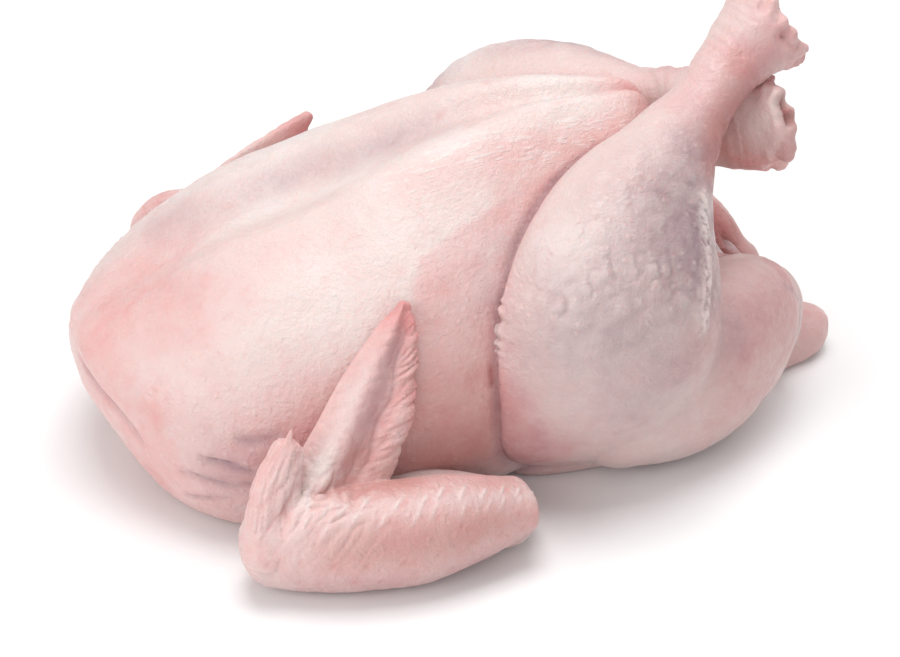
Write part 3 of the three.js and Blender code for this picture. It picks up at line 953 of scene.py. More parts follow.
# Cream along the crests is painted highlight, where they face the light
NEAR_CREST_HIGHLIGHT = [(-92, -12, 79), (-81, -5, 83), (-60, -2, 88), (-40, -8, 96), (-19, -17, 108), (8, -17, 115)]
FAR_CREST_HIGHLIGHT = [(-100, 27, 78), (-77, 24, 89), (-50, 24, 97), (-20, 22, 108), (10, 18, 116), (42, 11, 119)]
NEAR_FLUSH = [(-100, -36, 68), (-84, -34, 78), (-66, -32, 87), (-40, -30, 98)]
CREST_HIGHLIGHT = [(-26, -20, 107), (-8, -19, 113), (12, -18, 117), (34, -15, 118), (52, -10, 117)]
FLANK_NICK = [(-4, -65.5, 57), (-4.4, -66.4, 53), (-5, -67.4, 48)]
# Patches: x, y, z, radius and share
BREAST_FLUSH = [
    (-119, -12, 60, 20, 0.5), (-108, -30, 65, 11, 0.35), (-104, 0, 71, 16, 0.4), (-103, -18, 75, 12, 0.2),
    (-115, -46, 43, 8, 0.7), (-116, -40, 26, 18, 0.35), (-121, -24, 40, 14, 0.4), (66, 0, 111, 13, 0.7),
    (54, -16, 112, 8, 0.25), (12, -38, 100, 12, 0.15),
]
BOTH_FLANKS = {
    "pink": [
        (-69, -68, 50, 14, 0.45), (-84, -66, 48, 13, 0.2), (-92, -62, 22, 18, 0.25), (-28, -58, 78, 18, 0.3),
        (-4, -62, 66, 12, 0.5), (-23, -71, 42, 26, 0.6), (-100, -30, 10, 40, 0.4), (126, -8, 14, 18, 0.5),
        (104, -4, 48, 10, 0.6),
    ],
    "mauve": [
        # the mauve at (-24, -72, 24) is painted shadow in the gap low between wing and thigh
        (10, -48, 90, 12, 0.3), (0, -58, 76, 8, 0.3), (-97, -64, 27, 13, 0.3), (-24, -72, 24, 22, 0.3),
        (-60, -66, 20, 26, 0.3), (118, -8, 26, 18, 0.25),
    ],
    # pore: painted shadow, warm and dark, in that gap above the forearm
    "pore": [(-12, -70, 42, 16, 0.5), (-10, -69, 28, 9, 0.9), (-26, -72, 24, 18, 0.4)],
    "cream": [
        (-55, -42, 86, 22, 0.65), (-76, -46, 76, 20, 0.45), (-26, -40, 96, 18, 0.6), (40, -8, 118, 14, 0.7),
        # the cream at (6, -59, 8) is painted light, low on the flank by the table
        (-34, -30, 101, 14, 0.4), (-40, -58, 78, 18, 0.4), (2, -46, 95, 16, 0.3), (6, -59, 8, 9, 0.6),
    ],
}
# The line where the breast's thick pale skin ends, in front of the thigh: x at each height
THICK_SKIN_Z, THICK_SKIN_X = [76, 83, 90, 95, 98, 101], [-32, -28, -23, -14, -7, 5]

# painted shade along the keel's valley
streak(trunk, "mauve", KEEL_VALLEY_SHADE, 11, 0.4)
# painted highlight along both crests
streak(trunk, "cream", NEAR_CREST_HIGHLIGHT, 9, 0.9)
streak(trunk, "cream", FAR_CREST_HIGHLIGHT, 8, 0.8)
streak(trunk, "pink", NEAR_FLUSH, 13, 0.3)
patches(trunk, "pink", BREAST_FLUSH)
for mirror in (False, True):
    for shade, rows in BOTH_FLANKS.items():
        patches(trunk, shade, rows, mirror)
behind = body_x - np.interp(body_z, THICK_SKIN_Z, THICK_SKIN_X)
behind = behind + 2.0 * noise(body, 4, 91) + 1.5 * noise(body, 9, 92)
below_crest = fade(body_z, 108, 99)
tint(trunk, "pink", 0.27 * fade(behind, -1, 2) * fade(behind, 38, 8) * fade(body_z, 58, 80) * below_crest)
tint(trunk, "cream", 0.5 * bell(behind + 2.5, 2.5) * fade(body_z, 72, 82) * below_crest)
# painted highlight along the crest
streak(trunk, "cream", CREST_HIGHLIGHT, 5, 0.8)
streak(trunk, "raw", FLANK_NICK, 1.4, 0.7)
for shade in SHADES:
    print("mean share of", shade, "on the trunk:", round(float(trunk["paint"][shade].mean()), 3))

# %% [markdown]
# ## The legs
# The thigh is dusky where lean meat shows through thin skin, pale where fat lies under it, and the edge
# between the two is a line of coarse bumps. The dusk is deepened with painted shade on the back of the
# thigh and under the shank, where they turn from the light, and a pale patch on the thigh's front is a
# painted highlight. Behind the knee hangs a thin frayed membrane, and in front of the thigh the skin of
# the flank is drawn into small pleats. The places below are on the near leg; the far leg's points are
# mirrored to match them.

# %% Thigh
THIGH_FRONT, THIGH_ROUGH, BELOW_KNEE = (10, -64, 78), (8, -64, 76), (67, -76, 66)
THIGH_DUSK_AND_SHADE = [(24, -74, 88), (42, -70, 98), (58, -69, 97), (66, -60, 103)]
THIGH_BORDER = [
    (16, -77, 84), (32, -77, 92.5), (43.5, -77, 93.5), (52, -78, 88.5), (58, -78.5, 83), (68, -74, 77),
]
# Along the shank's underside: mauve and pore are painted shade, over its own pink
SHANK_SHADOW_LINE = [(100, -17, 123), (92, -26, 119), (85, -34, 114), (81, -42, 106), (79, -46, 98)]
SHANK_SHADOW_TINTS = (("pink", 8, 0.7), ("mauve", 7, 0.5), ("pore", 8, 0.9))  # shade, width, share
LEG_PATCHES = {
    "pink": [
        (96, -22, 130, 14, 0.75), (1, -70, 30, 20, 0.7), (0, -70, 46, 10, 0.4), (8, -71, 20, 12, 0.5),
        (98, -52, 50, 26, 0.6), (84, -68, 36, 18, 0.5), (110, -36, 50, 14, 0.4), (64, -76, 62, 14, 0.3),
        (72, -30, 124, 16, 0.4), (30, -76, 10, 22, 0.35), (6, -62, 80, 12, 0.25), (40, -60, 106, 14, 0.2),
    ],
    "mauve": [
        # mauve at (70, -56, 103) and (68, -70, 86): painted shade on the back of the thigh, over its own dusk
        (60, -72, 92, 14, 0.4), (70, -56, 103, 12, 0.7), (68, -70, 86, 13, 0.75), (36, -76, 84, 22, 0.3),
        (35, -84, 50, 30, 0.35), (80, -66, 50, 14, 0.3), (1, -70, 30, 14, 0.25), (96, -44, 56, 16, 0.3),
        (70, -40, 116, 10, 0.4), (28, -82, 70, 16, 0.2),
    ],
    # pore: painted shade under the shank
    "pore": [(82, -37, 115, 8, 0.7)],
    "cream": [
        # cream at (22, -67, 100) and (38, -64, 107): a painted highlight, the wet sheen on the thigh
        (22, -67, 100, 13, 0.95), (38, -64, 107, 10, 0.6), (22, -82, 75, 13, 0.45), (34, -80, 22, 20, 0.25),
        (15, -80, 48, 14, 0.25), (36, -58, 3, 16, 0.6), (6, -58, 82, 9, 0.4), (62, -34, 122, 10, 0.4),
        (88, -20, 127, 10, 0.3),
    ],
}


def thigh_skin(leg, points, side):
    """Follicles, wrinkles below the knee, colours, and lumps of fat under the upper skin."""
    outer = fade(leg["normals"][:, 1] * side, -0.2, 0.3)
    high = fade(points[:, 2], 60, 80) * fade(points[:, 2], 126, 108)
    follicles(leg, outer * bell(distance_to(points, THIGH_FRONT), 20), 3.8, 1.3, 0.3, seed=94)
    rough = bell(distance_to(points, THIGH_ROUGH), 18)
    tint(leg, "pimples", np.clip(outer * (0.35 + 0.65 * high) + rough, 0, 1))
    slack = bell(distance_to(points, BELOW_KNEE), 13)
    leg["height"] += 0.3 * slack * creased(wrinkles(points, (0.5, -0.2, 0.8), 2.0, 12, 101))
    # mauve along this line: lean under thin skin, and painted shade where the thigh turns from the light
    dusk_and_shade, _ = line_place(points, THIGH_DUSK_AND_SHADE)
    tint(leg, "mauve", 0.14 * outer)
    tint(leg, "mauve", 0.45 * outer * bell(dusk_and_shade, 18))
    # painted shade along the shank's underside
    for shade, width, share in SHANK_SHADOW_TINTS:
        streak(leg, shade, on_side(SHANK_SHADOW_LINE, side), width, share)
    for shade, rows in LEG_PATCHES.items():
        patches(leg, shade, rows, side == FAR)
    swell = creased(noise(points, 5.2, 95), 2) * outer * high
    leg["height"] += 0.28 * swell
    tint(leg, "cream", 0.22 * fade(swell, 0, 0.8))


def thigh_border(leg, points):
    """Coarse bumps of fat along the line between the pale skin and the dusky."""
    distance, _ = line_place(points, THIGH_BORDER)
    follicles(leg, 0.5 * bell(distance, 6), 3.4, 1.4, 0.3, seed=97)
    lumps = creased(noise(points, 4.0, 98))
    leg["height"] += 0.5 * bell(distance, 5) * lumps
    tint(leg, "cream", 0.4 * bell(distance, 5) * fade(lumps, 0, 0.8))
    tint(leg, "pimples", bell(distance, 8))


# %% Membrane, pleats and the edge of the vent
MEMBRANE = [(72, -54, 103), (70, -61, 96), (69, -67.5, 87.5), (66.5, -74, 79.5), (64.5, -78, 68)]
PLEATS = [(2, -57, 78), (-0.5, -60.5, 70.5), (-2.5, -63.5, 62), (-3.5, -65.5, 55)]
MEMBRANE_HEIGHT, PLEAT_HEIGHT, PLEAT_COUNT = 1.6, 2.3, 6
VENT_LIP = [(84, -34, 66.5), (90, -32.5, 65), (96, -29.5, 62.5), (102, -27, 59.5), (107, -24, 56)]
VENT_INSIDE = [(84, -28, 66), (90, -26.5, 64), (97, -24, 61), (104, -20, 56)]
RUMP_FOLD = [(107, -40, 54.5), (115, -34, 44), (118, -31, 34), (115, -35, 26)]
VENT_PATCHES = {
    "raw": [(104, -15, 48, 8, 0.45), (97, -14, 55, 9, 0.45), (90, -12, 60, 9, 0.4)],
    "pink": [(104, -15, 48, 12, 0.8), (95, -14, 56, 13, 0.8)],
}


def knee_membrane(leg, points):
    """A thin ridge of skin behind the knee, its edge frayed by noise drawn out across it."""
    distance, _ = line_place(points, MEMBRANE)
    frill = creased(wrinkles(points, (0.2, -0.5, -0.85), 1.5, 9, 99))
    leg["height"] += MEMBRANE_HEIGHT * bell(distance, 1.9) * (0.6 + 0.5 * frill)
    tint(leg, "cream", bell(distance, 3.4) * fade(frill, -0.9, 0.0))


def thigh_pleats(leg, points):
    """Small pleats in a row down the thigh's front: |sin(n pi t)| of the way along, filled out by a power."""
    distance, along = line_place(points, PLEATS)
    lobes = np.abs(np.sin(np.pi * (PLEAT_COUNT * along + 0.3 * np.sin(9 * along)))) ** 0.7
    cluster = bell(distance, 3.0) * fade(along, 0.0, 0.15) * fade(along, 1.0, 0.6)
    leg["height"] += cluster * (PLEAT_HEIGHT * lobes - 0.5)
    tint(leg, "cream", cluster * lobes)


def vent_edge(leg, side):
    """The vent's pale lip on the rump, the red hollow inside it and the fold that runs on down."""
    groove(leg, on_side(VENT_LIP, side), 1.4, -1.2)
    streak(leg, "cream", on_side(VENT_LIP, side), 2.4, 1.0)
    groove(leg, on_side(VENT_INSIDE, side), 3.2, 2.5, "raw", 0.5)
    for shade, rows in VENT_PATCHES.items():
        patches(leg, shade, rows, side == FAR)
    # mauve in the fold: painted shade
    groove(leg, on_side(RUMP_FOLD, side), 1.6, 0.8, "mauve", 0.3)


for side, leg in legs.items():
    points = on_side(leg["points"], side)
    thigh_skin(leg, points, side)
    thigh_border(leg, points)
    knee_membrane(leg, points)
    thigh_pleats(leg, points)
    vent_edge(leg, side)
print("relief so far, mm:", [relief_of(leg) for leg in legs.values()])

# %% [markdown]
# ## The hocks
# A cook's cut goes through the ankle joint. Two pearly knuckles of cartilage show in a ring of drawn-back
# skin, with dark red tissue between. Fine rings cross the shank, the skin's end is dished and its rim is
# lumpy. The knuckles are a piece of their own: two balls side by side, blended, with a groove between.

# %% Ends of the legs
HOCK_DISH, HOCK_RIM = 6.5, 2.6  # depth of the dished end and height of the rim's lumps
HOCK_REACH = 30  # from the middle of the end to past the farthest of its skin
SHANK_RINGS = 62  # lumps of the rings' noise along a whole leg


def hock_relief(side):
    """Rings on the shank, a lumpy rim and a dished end. Gives the end's place, direction and half axes."""
    leg, frame_of = legs[side], leg_frame(LEG[side], side, 110)
    points = leg["points"]
    on, a, b = limb_place(points, frame_of)
    end, out_way, long, leaning = (rows[-1] for rows in frame_of)
    past = (points - end) @ out_way
    reach, angle = np.hypot(a, b), np.arctan2(b, a)
    tip = fade(past, -9, 1) * (distance_to(points, end) < HOCK_REACH)
    lumps = 0.35 * np.sin(3 * angle + 1) + 0.4 * np.sin(5 * angle + 2) + 1.2 * noise(points, 3.2, 111)
    leg["height"] += tip * HOCK_RIM * bell(reach - 0.93, 0.24) * (0.35 + lumps)
    leg["height"] -= fade(past, 0, 3) * HOCK_DISH * fade(reach, 0.86, 0.5)
    tint(leg, "raw", fade(past, 0, 2) * fade(reach, 0.82, 0.66))
    tint(leg, "cream", 0.5 * tip * bell(reach - 0.95, 0.2))
    ringed = fade(on, 0.62, 0.74) * fade(on, 0.97, 0.9)
    leg["height"] += 0.22 * ringed * creased(noise(np.stack([on * SHANK_RINGS, a, b], 1), 1.0, 112))
    tint(leg, "pink", 0.6 * fade(on, 0.82, 0.95))
    # mauve a little back from the cut end: painted shade where the crossed shanks shade each other
    tint(leg, "mauve", 0.35 * fade(on, 0.8, 0.9) * fade(past, -14, -22))
    return end, out_way, long, leaning


hock_frames = {side: hock_relief(side) for side in legs}
print("middle of each cut end, mm:", [hock[0].round(1) for hock in hock_frames.values()])

# %% The lower shank's cut
# It faces out to the side: a slit, a pale flap beside it and a hollow below
CUT_SLIT = [(109.5, -21, 118), (111, -23.5, 113.5), (112, -25, 108)]
CUT_FLAP = [(106.5, -19, 120.5), (108.3, -21.5, 116), (109, -23.5, 110), (108.5, -25, 103)]
CUT_HOLLOW = [(112, -25.5, 107), (112.5, -27, 101), (112, -27, 95)]
CUT_PATCHES = [
    # these first pore patches are the near shank's painted shadow on the far shank
    ("pore", [(91, -13, 105, 8, 0.5), (95, -12, 91, 8, 0.25), (88, 0, 100, 10, 0.5)]),
    ("pink", [(99, -18, 95, 12, 0.6), (93, -12, 100, 9, 0.5)]),
    ("pore", [
        (114, -23, 106, 6, 0.7), (112, -24, 100, 6, 0.5), (112, -20, 120, 5, 0.4), (108, -22, 92, 6, 0.4),
    ]),
    ("raw", [(93, -14, 106, 6, 0.25), (113, -20, 119, 4, 0.4)]),
    # this cream is painted light, lifting the near shank's shadow
    ("cream", [(103, -20, 108, 12, 0.9)]),
    ("raw", [(112, 21, 42, 12, 0.3)]),
    ("pore", [(112, 21, 42, 16, 0.7)]),
]
groove(legs[FAR], CUT_SLIT, 1.5, 3.0, "raw", 0.9)
groove(legs[FAR], CUT_FLAP, 1.7, -2.0)
streak(legs[FAR], "cream", CUT_FLAP[:3], 3.0, 0.9)
groove(legs[FAR], CUT_HOLLOW, 2.6, 1.6, "mauve", 0.5)
for shade, rows in CUT_PATCHES:
    patches(legs[FAR], shade, rows)
print("relief so far, mm:", relief_of(legs[FAR]))

# %% [markdown]
# ## The wings
# A wing shows three bones' worth of shape. The blade has a smooth bone ridge in front, a mauve hollow and
# a pink fleshy edge, crossed by slanting creases and scalloped where each big feather grew. The thumb is
# wrinkled lengthwise and ends in a tiny claw. The wrist is a crumple of cream folds, and slanting dashes
# line the top of the forearm. Each is drawn in the limb's own terms: how far along, how far across.

# %% Blade and thumb
TAILWARD = (1, 0, 0)  # takes the place of up in the frames of blade and thumb, which stand upright


def blade_skin(wing, side):
    """Ruffles across the fleshy edge, a fold beside the hollow, and the colours. Gives the blade's share."""
    points = wing["points"]
    on, out, wide = limb_place(points, limb_frame(WING_TIP[side], side, 90, TAILWARD))
    out = -side * out
    blade_part = fade(np.hypot(out, wide), 1.6, 1.25) * fade(on, 0.12, 0.24) * fade(points[:, 2], 34, 40)
    outside = blade_part * fade(out, 0.0, 0.3)
    ruffle = blade_part * fade(wide, 0.2, 0.5) * (1 - 0.7 * fade(on, 0.75, 0.95))
    slant = creased(noise(np.stack([on * 34 - wide * 5, wide * 1.2, out * 0.5], 1), 1.0, 121), 3)
    small = creased(noise(np.stack([on * 80 - wide * 11, wide * 2.5, out], 1), 1.0, 122), 2)
    wing["height"] += ruffle * (0.5 * slant + 0.3 * small)
    wing["height"] += 0.2 * outside * (1 - ruffle) * creased(noise(points, 3.4, 124), 2)
    tint(wing, "pink", 0.1 * ruffle + 0.25 * ruffle * fade(slant, 0.4, -0.6))
    tint(wing, "cream", 0.2 * ruffle * fade(slant, 0.3, 0.9))
    fold = bell(wide - 0.3 - 0.07 * np.sin(on * 25), 0.06)
    wing["height"] -= 0.9 * outside * fold * fade(on, 0.9, 0.7)
    tint(wing, "pink", blade_part * (0.35 + 0.5 * fade(on, 0.68, 0.95) + 0.15 * fade(wide, -0.6, 0.1)))
    tint(wing, "pink", 0.5 * blade_part * fade(wide, 0.75, 1.0))
    tint(wing, "raw", 0.15 * blade_part * bell(on - 1.0, 0.08))
    tint(wing, "mauve", 0.3 * outside * bell(wide - 0.02, 0.34) * fade(on, 0.98, 0.8))
    tint(wing, "cream", 0.5 * outside * bell(wide + 0.55, 0.2) * fade(on, 0.8, 0.5))
    return blade_part


def thumb_skin(wing, side, blade_part):
    """Wrinkles along the thumb, pink between them. Gives the thumb's share."""
    on, out, wide = limb_place(wing["points"], limb_frame(THUMB[side], side, 60, TAILWARD))
    thumb_part = fade(np.hypot(out, wide), 1.7, 1.3) * fade(on, 0.15, 0.35) * (1 - blade_part)
    lines = creased(noise(np.stack([on * 5, wide * 6, out * 3], 1), 1.0, 123), 2)
    wing["height"] += 0.3 * thumb_part * lines
    tint(wing, "pink", thumb_part * (0.32 + 0.15 * fade(lines, 0, -0.8)))
    return thumb_part


# %% Wrist
WRIST_PLACE, WRIST_REACH = (-68, -98, 34), 16
# Folds: places, width and depth
WRIST_FOLDS = [
    ([(-60, -103, 33), (-59, -97, 36), (-52, -92, 36), (-48, -87, 36)], 1.6, 1.44),
    ([(-64, -101, 35), (-65, -95, 38), (-60, -89, 40)], 1.5, 1.04),
    ([(-84, -103, 27), (-81, -98, 35), (-78, -92, 42), (-76, -89, 46)], 1.6, 1.28),
    ([(-76, -104, 30), (-72, -100, 34), (-68, -96, 37)], 1.3, 0.72),
]
WRIST_RIDGE = [(-62, -87, 50), (-69, -89, 42), (-75, -92, 34), (-78, -97, 26)]
WRIST_PATCHES = {
    # pore: painted shadow where the blade's base meets the forearm
    "pore": [(-52, -85, 41, 5, 0.7), (-46, -95, 36, 6, 0.5)],
    "cream": [(-90, -99, 8, 14, 0.6), (-76, -105, 28, 9, 0.5), (-38, -80, 40, 7, 0.5)],
}


def wrist_skin(wing, side):
    """A crumple of cream folds, pink down between them."""
    points = on_side(wing["points"], side)
    wrist = bell(distance_to(points, WRIST_PLACE), WRIST_REACH)
    crumple = creased(wrinkles(points, (0.65, 0.1, 0.7), 2.8, 12, 125), 2)
    wing["height"] += 0.7 * wrist * crumple
    tint(wing, "cream", 0.5 * wrist * fade(crumple, -0.6, 0.6))
    tint(wing, "pink", 0.3 * wrist * fade(crumple, 0, -0.8))
    for line, width, depth in WRIST_FOLDS:
        groove(wing, on_side(line, side), width, depth, "pink", 0.4)


def wrist_ridge(wing, side):
    """The cream ridge that runs down over the wrist, and the patches round it."""
    ridge = on_side(WRIST_RIDGE, side)
    groove(wing, ridge, 4.0, -1.2)
    streak(wing, "cream", ridge, 5.5, 1.0)
    for shade, rows in WRIST_PATCHES.items():
        patches(wing, shade, rows, side == FAR)


# %% Forearm
ARM_LENGTH, ARM_RADIUS = 80.0, 16.0
DASH_TURN, DASH_WIDTH = np.radians(120), 0.5
DASH_HEIGHT, SLIT_DEPTH = 0.45, 0.25
# Rows of dashes: millimetres round from the outer side, spacing, half length, share (slits if below 0), seed
DASH_ROWS = [
    (20, 5.8, 3.0, 1.0, 131),
    (14.5, 6.4, 2.6, 0.6, 133),
    (8, 9.5, 1.5, -0.5, 134),
    (0.5, 8.5, 1.5, -0.6, 136),
    (-7, 7.5, 1.3, -0.5, 137),
]


def dashes(along, around, row, spacing, half, seed):
    """One slanting dash in each cell along a row: a long thin bell, and another beside it."""
    cell = np.floor(along / spacing)
    cells = np.stack([cell, 0 * cell, 0 * cell], 1)
    ahead = along - (cell + 0.5 + 0.35 * (lattice(cells, seed) - 0.5)) * spacing
    up = around - row - half * (lattice(cells, seed + 50) - 0.5)
    with_it = np.cos(DASH_TURN) * ahead + np.sin(DASH_TURN) * up
    aside = np.cos(DASH_TURN) * up - np.sin(DASH_TURN) * ahead
    return bell(with_it, half) * bell(aside, DASH_WIDTH), bell(with_it, half) * bell(aside - 1.4, 0.8)


def forearm_skin(wing, side, elsewhere):
    """Rows of dashes and slits along the forearm, and its colours, but not on the share that is elsewhere."""
    on, out, rise = limb_place(wing["points"], limb_frame(FOREARM, side, 90))
    arm_part = fade(np.hypot(out, rise), 1.5, 1.2) * (1 - elsewhere)
    round_it = np.arctan2(rise, -side * out) * ARM_RADIUS
    marks = []
    for row, spacing, half, share, seed in DASH_ROWS:
        mark, beside = dashes(on * ARM_LENGTH, round_it, row, spacing, half, seed)
        wing["height"] += (DASH_HEIGHT if share > 0 else SLIT_DEPTH) * share * arm_part * mark
        marks.append((share, arm_part * mark, arm_part * beside))
    wing["height"] += 0.1 * arm_part * creased(noise(wing["points"], 4.0, 132), 2)
    tint(wing, "pimples", 0.7 * arm_part)
    tint(wing, "pink", 0.42 * arm_part)
    # mauve low on the arm: painted shade on its underside
    tint(wing, "mauve", 0.3 * arm_part * fade(rise, 0.1, -0.6))
    # cream along the top of the arm: painted highlight
    tint(wing, "cream", 0.45 * arm_part * bell(round_it - 17, 5))
    tint(wing, "pore", 0.6 * arm_part * bell(round_it - 6, 8) * fade(on, 0.85, 0.65) * fade(on, -0.1, 0.25))
    # pore high on the inner side: painted shadow under the blade's base
    tint(wing, "pore", 0.8 * arm_part * bell(round_it - 30, 6) * fade(on, 0.25, 0.45) * fade(on, 0.85, 0.7))
    for share, mark, beside in marks:
        tint(wing, "cream" if share > 0 else "pore", abs(share) * mark)
        tint(wing, "pink", 0.3 * abs(share) * beside)


for side, wing in wings.items():
    blade_part = blade_skin(wing, side)
    thumb_part = thumb_skin(wing, side, blade_part)
    wrist_skin(wing, side)
    forearm_skin(wing, side, 1 - (1 - blade_part) * (1 - thumb_part))
    wrist_ridge(wing, side)
    # cream over the far blade: painted light, where it catches light from behind
    if side == FAR:
        tint(wing, "cream", 0.4 * blade_part)
follicles(wings[NEAR], 0.4 * fade(wings[NEAR]["points"][:, 2], 40, 25), 5.0, 1.0, 0.15, seed=135)
print("relief so far, mm:", [relief_of(wing) for wing in wings.values()])

# %% Moving the skin
def settle(piece):
    """Moves each point along its normal by its height, keeps it off the table, and stores the shades."""
    points = piece["points"] + piece["normals"] * piece["height"][:, None]
    points[:, 2] = np.maximum(points[:, 2], 0)
    mesh = piece["object"].data
    mesh.vertices.foreach_set("co", ((points + TO_FRAME) * MM).astype(np.float32).ravel())
    mesh.update()
    for shade, share in piece["paint"].items():
        layer = mesh.attributes.new(shade, "FLOAT", "POINT")
        layer.data.foreach_set("value", share.astype(np.float32))


for piece in pieces:
    settle(piece)
    print(piece["name"], "relief, mm:", piece["height"].min().round(2), "to", piece["height"].max().round(2))

# %% Knuckles of cartilage
KNUCKLE_WIDTH, KNUCKLE_LENGTH = 0.68, 0.46  # half sizes as shares of the shank's half thickness and length
KNUCKLE_RISE, KNUCKLE_SUNK = 6.0, 1.5  # half height, and how deep its middle lies in the dish
KNUCKLE_WAIST = 0.3


def knuckles(side, count=48, sides=64):
    """Two balls side by side: a ball of unit radius pinched round its middle, then stretched."""
    end, out_way, long, leaning = hock_frames[side]
    polar, turn = np.meshgrid(
        np.linspace(0, np.pi, count + 2)[1:-1], np.arange(sides) / sides * 2 * np.pi, indexing="ij"
    )
    shape = np.stack([np.cos(polar), np.sin(polar) * np.cos(turn), np.sin(polar) * np.sin(turn)], -1)
    poles = np.array([[1.0, 0, 0], [-1.0, 0, 0]])
    shape = np.vstack([shape.reshape(-1, 3), poles])
    waist = 1 - KNUCKLE_WAIST * bell(shape[:, :1], 0.34) * fade(shape[:, 2:3], -0.5, 0.6)
    shape = shape * np.hstack([np.ones_like(waist), waist, waist])
    axes = np.stack([leaning * KNUCKLE_WIDTH, long * KNUCKLE_LENGTH, out_way * KNUCKLE_RISE])
    points = end - out_way * KNUCKLE_SUNK + shape @ axes
    points = points + 0.25 * noise(points, 3.0, 141)[:, None] * out_way
    quads, triangles = tube_faces(count, sides)
    return (points, *outward(points, quads, triangles))


hocks = [new_mesh("near_knuckle", *knuckles(NEAR)), new_mesh("far_knuckle", *knuckles(FAR))]
print("points of the knuckles:", [len(hock.data.vertices) for hock in hocks])

# %% [markdown]
# ## The finish
# Raw skin is thin and lets light through, so its colour comes from below: white fat, pink skin, mauve
# muscle. The shader starts from the plain skin colour and lays the painted shades over it, cream, pink and
# mauve broken up by noise; in creases, gaps and on sides turned from the light the mauve and pore are
# painted shade, and some cream is painted highlight. Light scatters inside by about a millimetre, red the
# furthest. The surface is moist, and a bump gives it pimples, fine strokes and a grain of pores.

# %% Colours and small helpers for shader nodes
def linear(red, green, blue):
    """Light amounts for a colour given as 0 to 255 on a screen, by the sRGB curve."""
    share = np.array([red, green, blue]) / 255
    return (*np.where(share <= 0.04045, share / 12.92, ((share + 0.055) / 1.055) ** 2.4), 1.0)


SKIN, CREAM, PINK = linear(217, 195, 191), linear(226, 214, 210), linear(216, 142, 140)
MAUVE, RAW, PORE = linear(153, 126, 134), linear(158, 74, 68), linear(184, 116, 108)
DARK_RAW = linear(120, 40, 38)
PEARL, BLUISH, FLECK = linear(236, 222, 214), linear(212, 200, 206), linear(206, 110, 100)
NOISE, VORONOI = "ShaderNodeTexNoise", "ShaderNodeTexVoronoi"


def texture(tree, kind, scale, shift=(0, 0, 0), along=(1, 0, 0), stretch=1.0, **values):
    """A texture on object coordinates, scale in lumps to the metre, moved or drawn out along a line."""
    place = tree.nodes.get("place") or tree.nodes.new("ShaderNodeTexCoord")
    place.name = "place"
    mapping = tree.nodes.new("ShaderNodeMapping")
    mapping.vector_type = "TEXTURE"
    mapping.inputs["Location"].default_value = shift
    mapping.inputs["Rotation"].default_value = Vector(along).to_track_quat("X", "Z").to_euler()
    mapping.inputs["Scale"].default_value = (stretch, 1, 1)
    tree.links.new(place.outputs["Object"], mapping.inputs["Vector"])
    node = tree.nodes.new(kind)
    node.inputs["Scale"].default_value = scale
    for name, value in values.items():
        node.inputs[name].default_value = value
    tree.links.new(mapping.outputs["Vector"], node.inputs["Vector"])
    return node.outputs[0]


def reckon(tree, operation, first, second=0.0, third=0.0):
    """A math node; each input is a socket or a number."""
    node = tree.nodes.new("ShaderNodeMath")
    node.operation = operation
    for slot, value in zip(node.inputs, (first, second, third)):
        if isinstance(value, bpy.types.NodeSocket):
            tree.links.new(value, slot)
        else:
            slot.default_value = value
    return node.outputs[0]


def remap(tree, value, low, high, to_low=0.0, to_high=1.0):
    """Stretches low..high to to_low..to_high, clamped, with soft ends."""
    node = tree.nodes.new("ShaderNodeMapRange")
    node.interpolation_type = "SMOOTHSTEP"
    tree.links.new(value, node.inputs["Value"])
    for name, number in (("From Min", low), ("From Max", high), ("To Min", to_low), ("To Max", to_high)):
        node.inputs[name].default_value = number
    return node.outputs["Result"]


def over(tree, share, below, above):
    """Lays one colour over another by a share."""
    node = tree.nodes.new("ShaderNodeMix")
    node.data_type = "RGBA"
    node.clamp_factor = True
    tree.links.new(share, node.inputs["Factor"])
    sockets = [socket for socket in node.inputs if socket.type == "RGBA"]
    for slot, value in zip(sockets, (below, above)):
        if isinstance(value, bpy.types.NodeSocket):
            tree.links.new(value, slot)
        else:
            slot.default_value = value
    return next(socket for socket in node.outputs if socket.type == "RGBA")


def painted(tree, name):
    """The share of a shade that the mesh carries."""
    node = tree.nodes.new("ShaderNodeAttribute")
    node.attribute_name = name
    return node.outputs["Fac"]


# %% The two grains
PIMPLES, PIMPLE_REACH = 230, 0.34  # pimples to the metre, and their reach as a share of the distance between
PIT_SHIFT = (0.0006, 0.0001, 0.0004)  # metres from a pimple to its pit


def pimples(tree):
    """Swellings and the pits beside them, each 1 at a scattered point and 0 past the reach."""
    spread = [texture(tree, VORONOI, PIMPLES, shift) for shift in ((0, 0, 0), PIT_SHIFT)]
    return [remap(tree, distance, 0.0, PIMPLE_REACH, 1.0, 0.0) for distance in spread]


def strokes(tree):
    """Short ridges along the crest of the breast."""
    lines = texture(tree, NOISE, 700, along=(1, 0, 0.16), stretch=8.0, Detail=1.0)
    return remap(tree, lines, 0.5, 0.72)


# %% Skin
BUMP = {"swelling": 0.32, "pit": -0.16, "stroke": 0.16, "crinkle": 0.5, "grain": 0.2}  # millimetres


def skin_relief(tree, swelling, pit, stroke):
    """Sum of the fine reliefs in millimetres: crinkle and grain everywhere, the others by their shares."""
    crinkle = texture(tree, NOISE, 500, Detail=3.0, Roughness=0.5, Distortion=0.4)
    grain = texture(tree, NOISE, 1500, Detail=2.0)
    total = reckon(tree, "MULTIPLY", crinkle, BUMP["crinkle"])
    total = reckon(tree, "MULTIPLY_ADD", grain, BUMP["grain"], total)
    for share, name in ((swelling, "swelling"), (pit, "pit"), (stroke, "stroke")):
        total = reckon(tree, "MULTIPLY_ADD", share, BUMP[name], total)
    return total


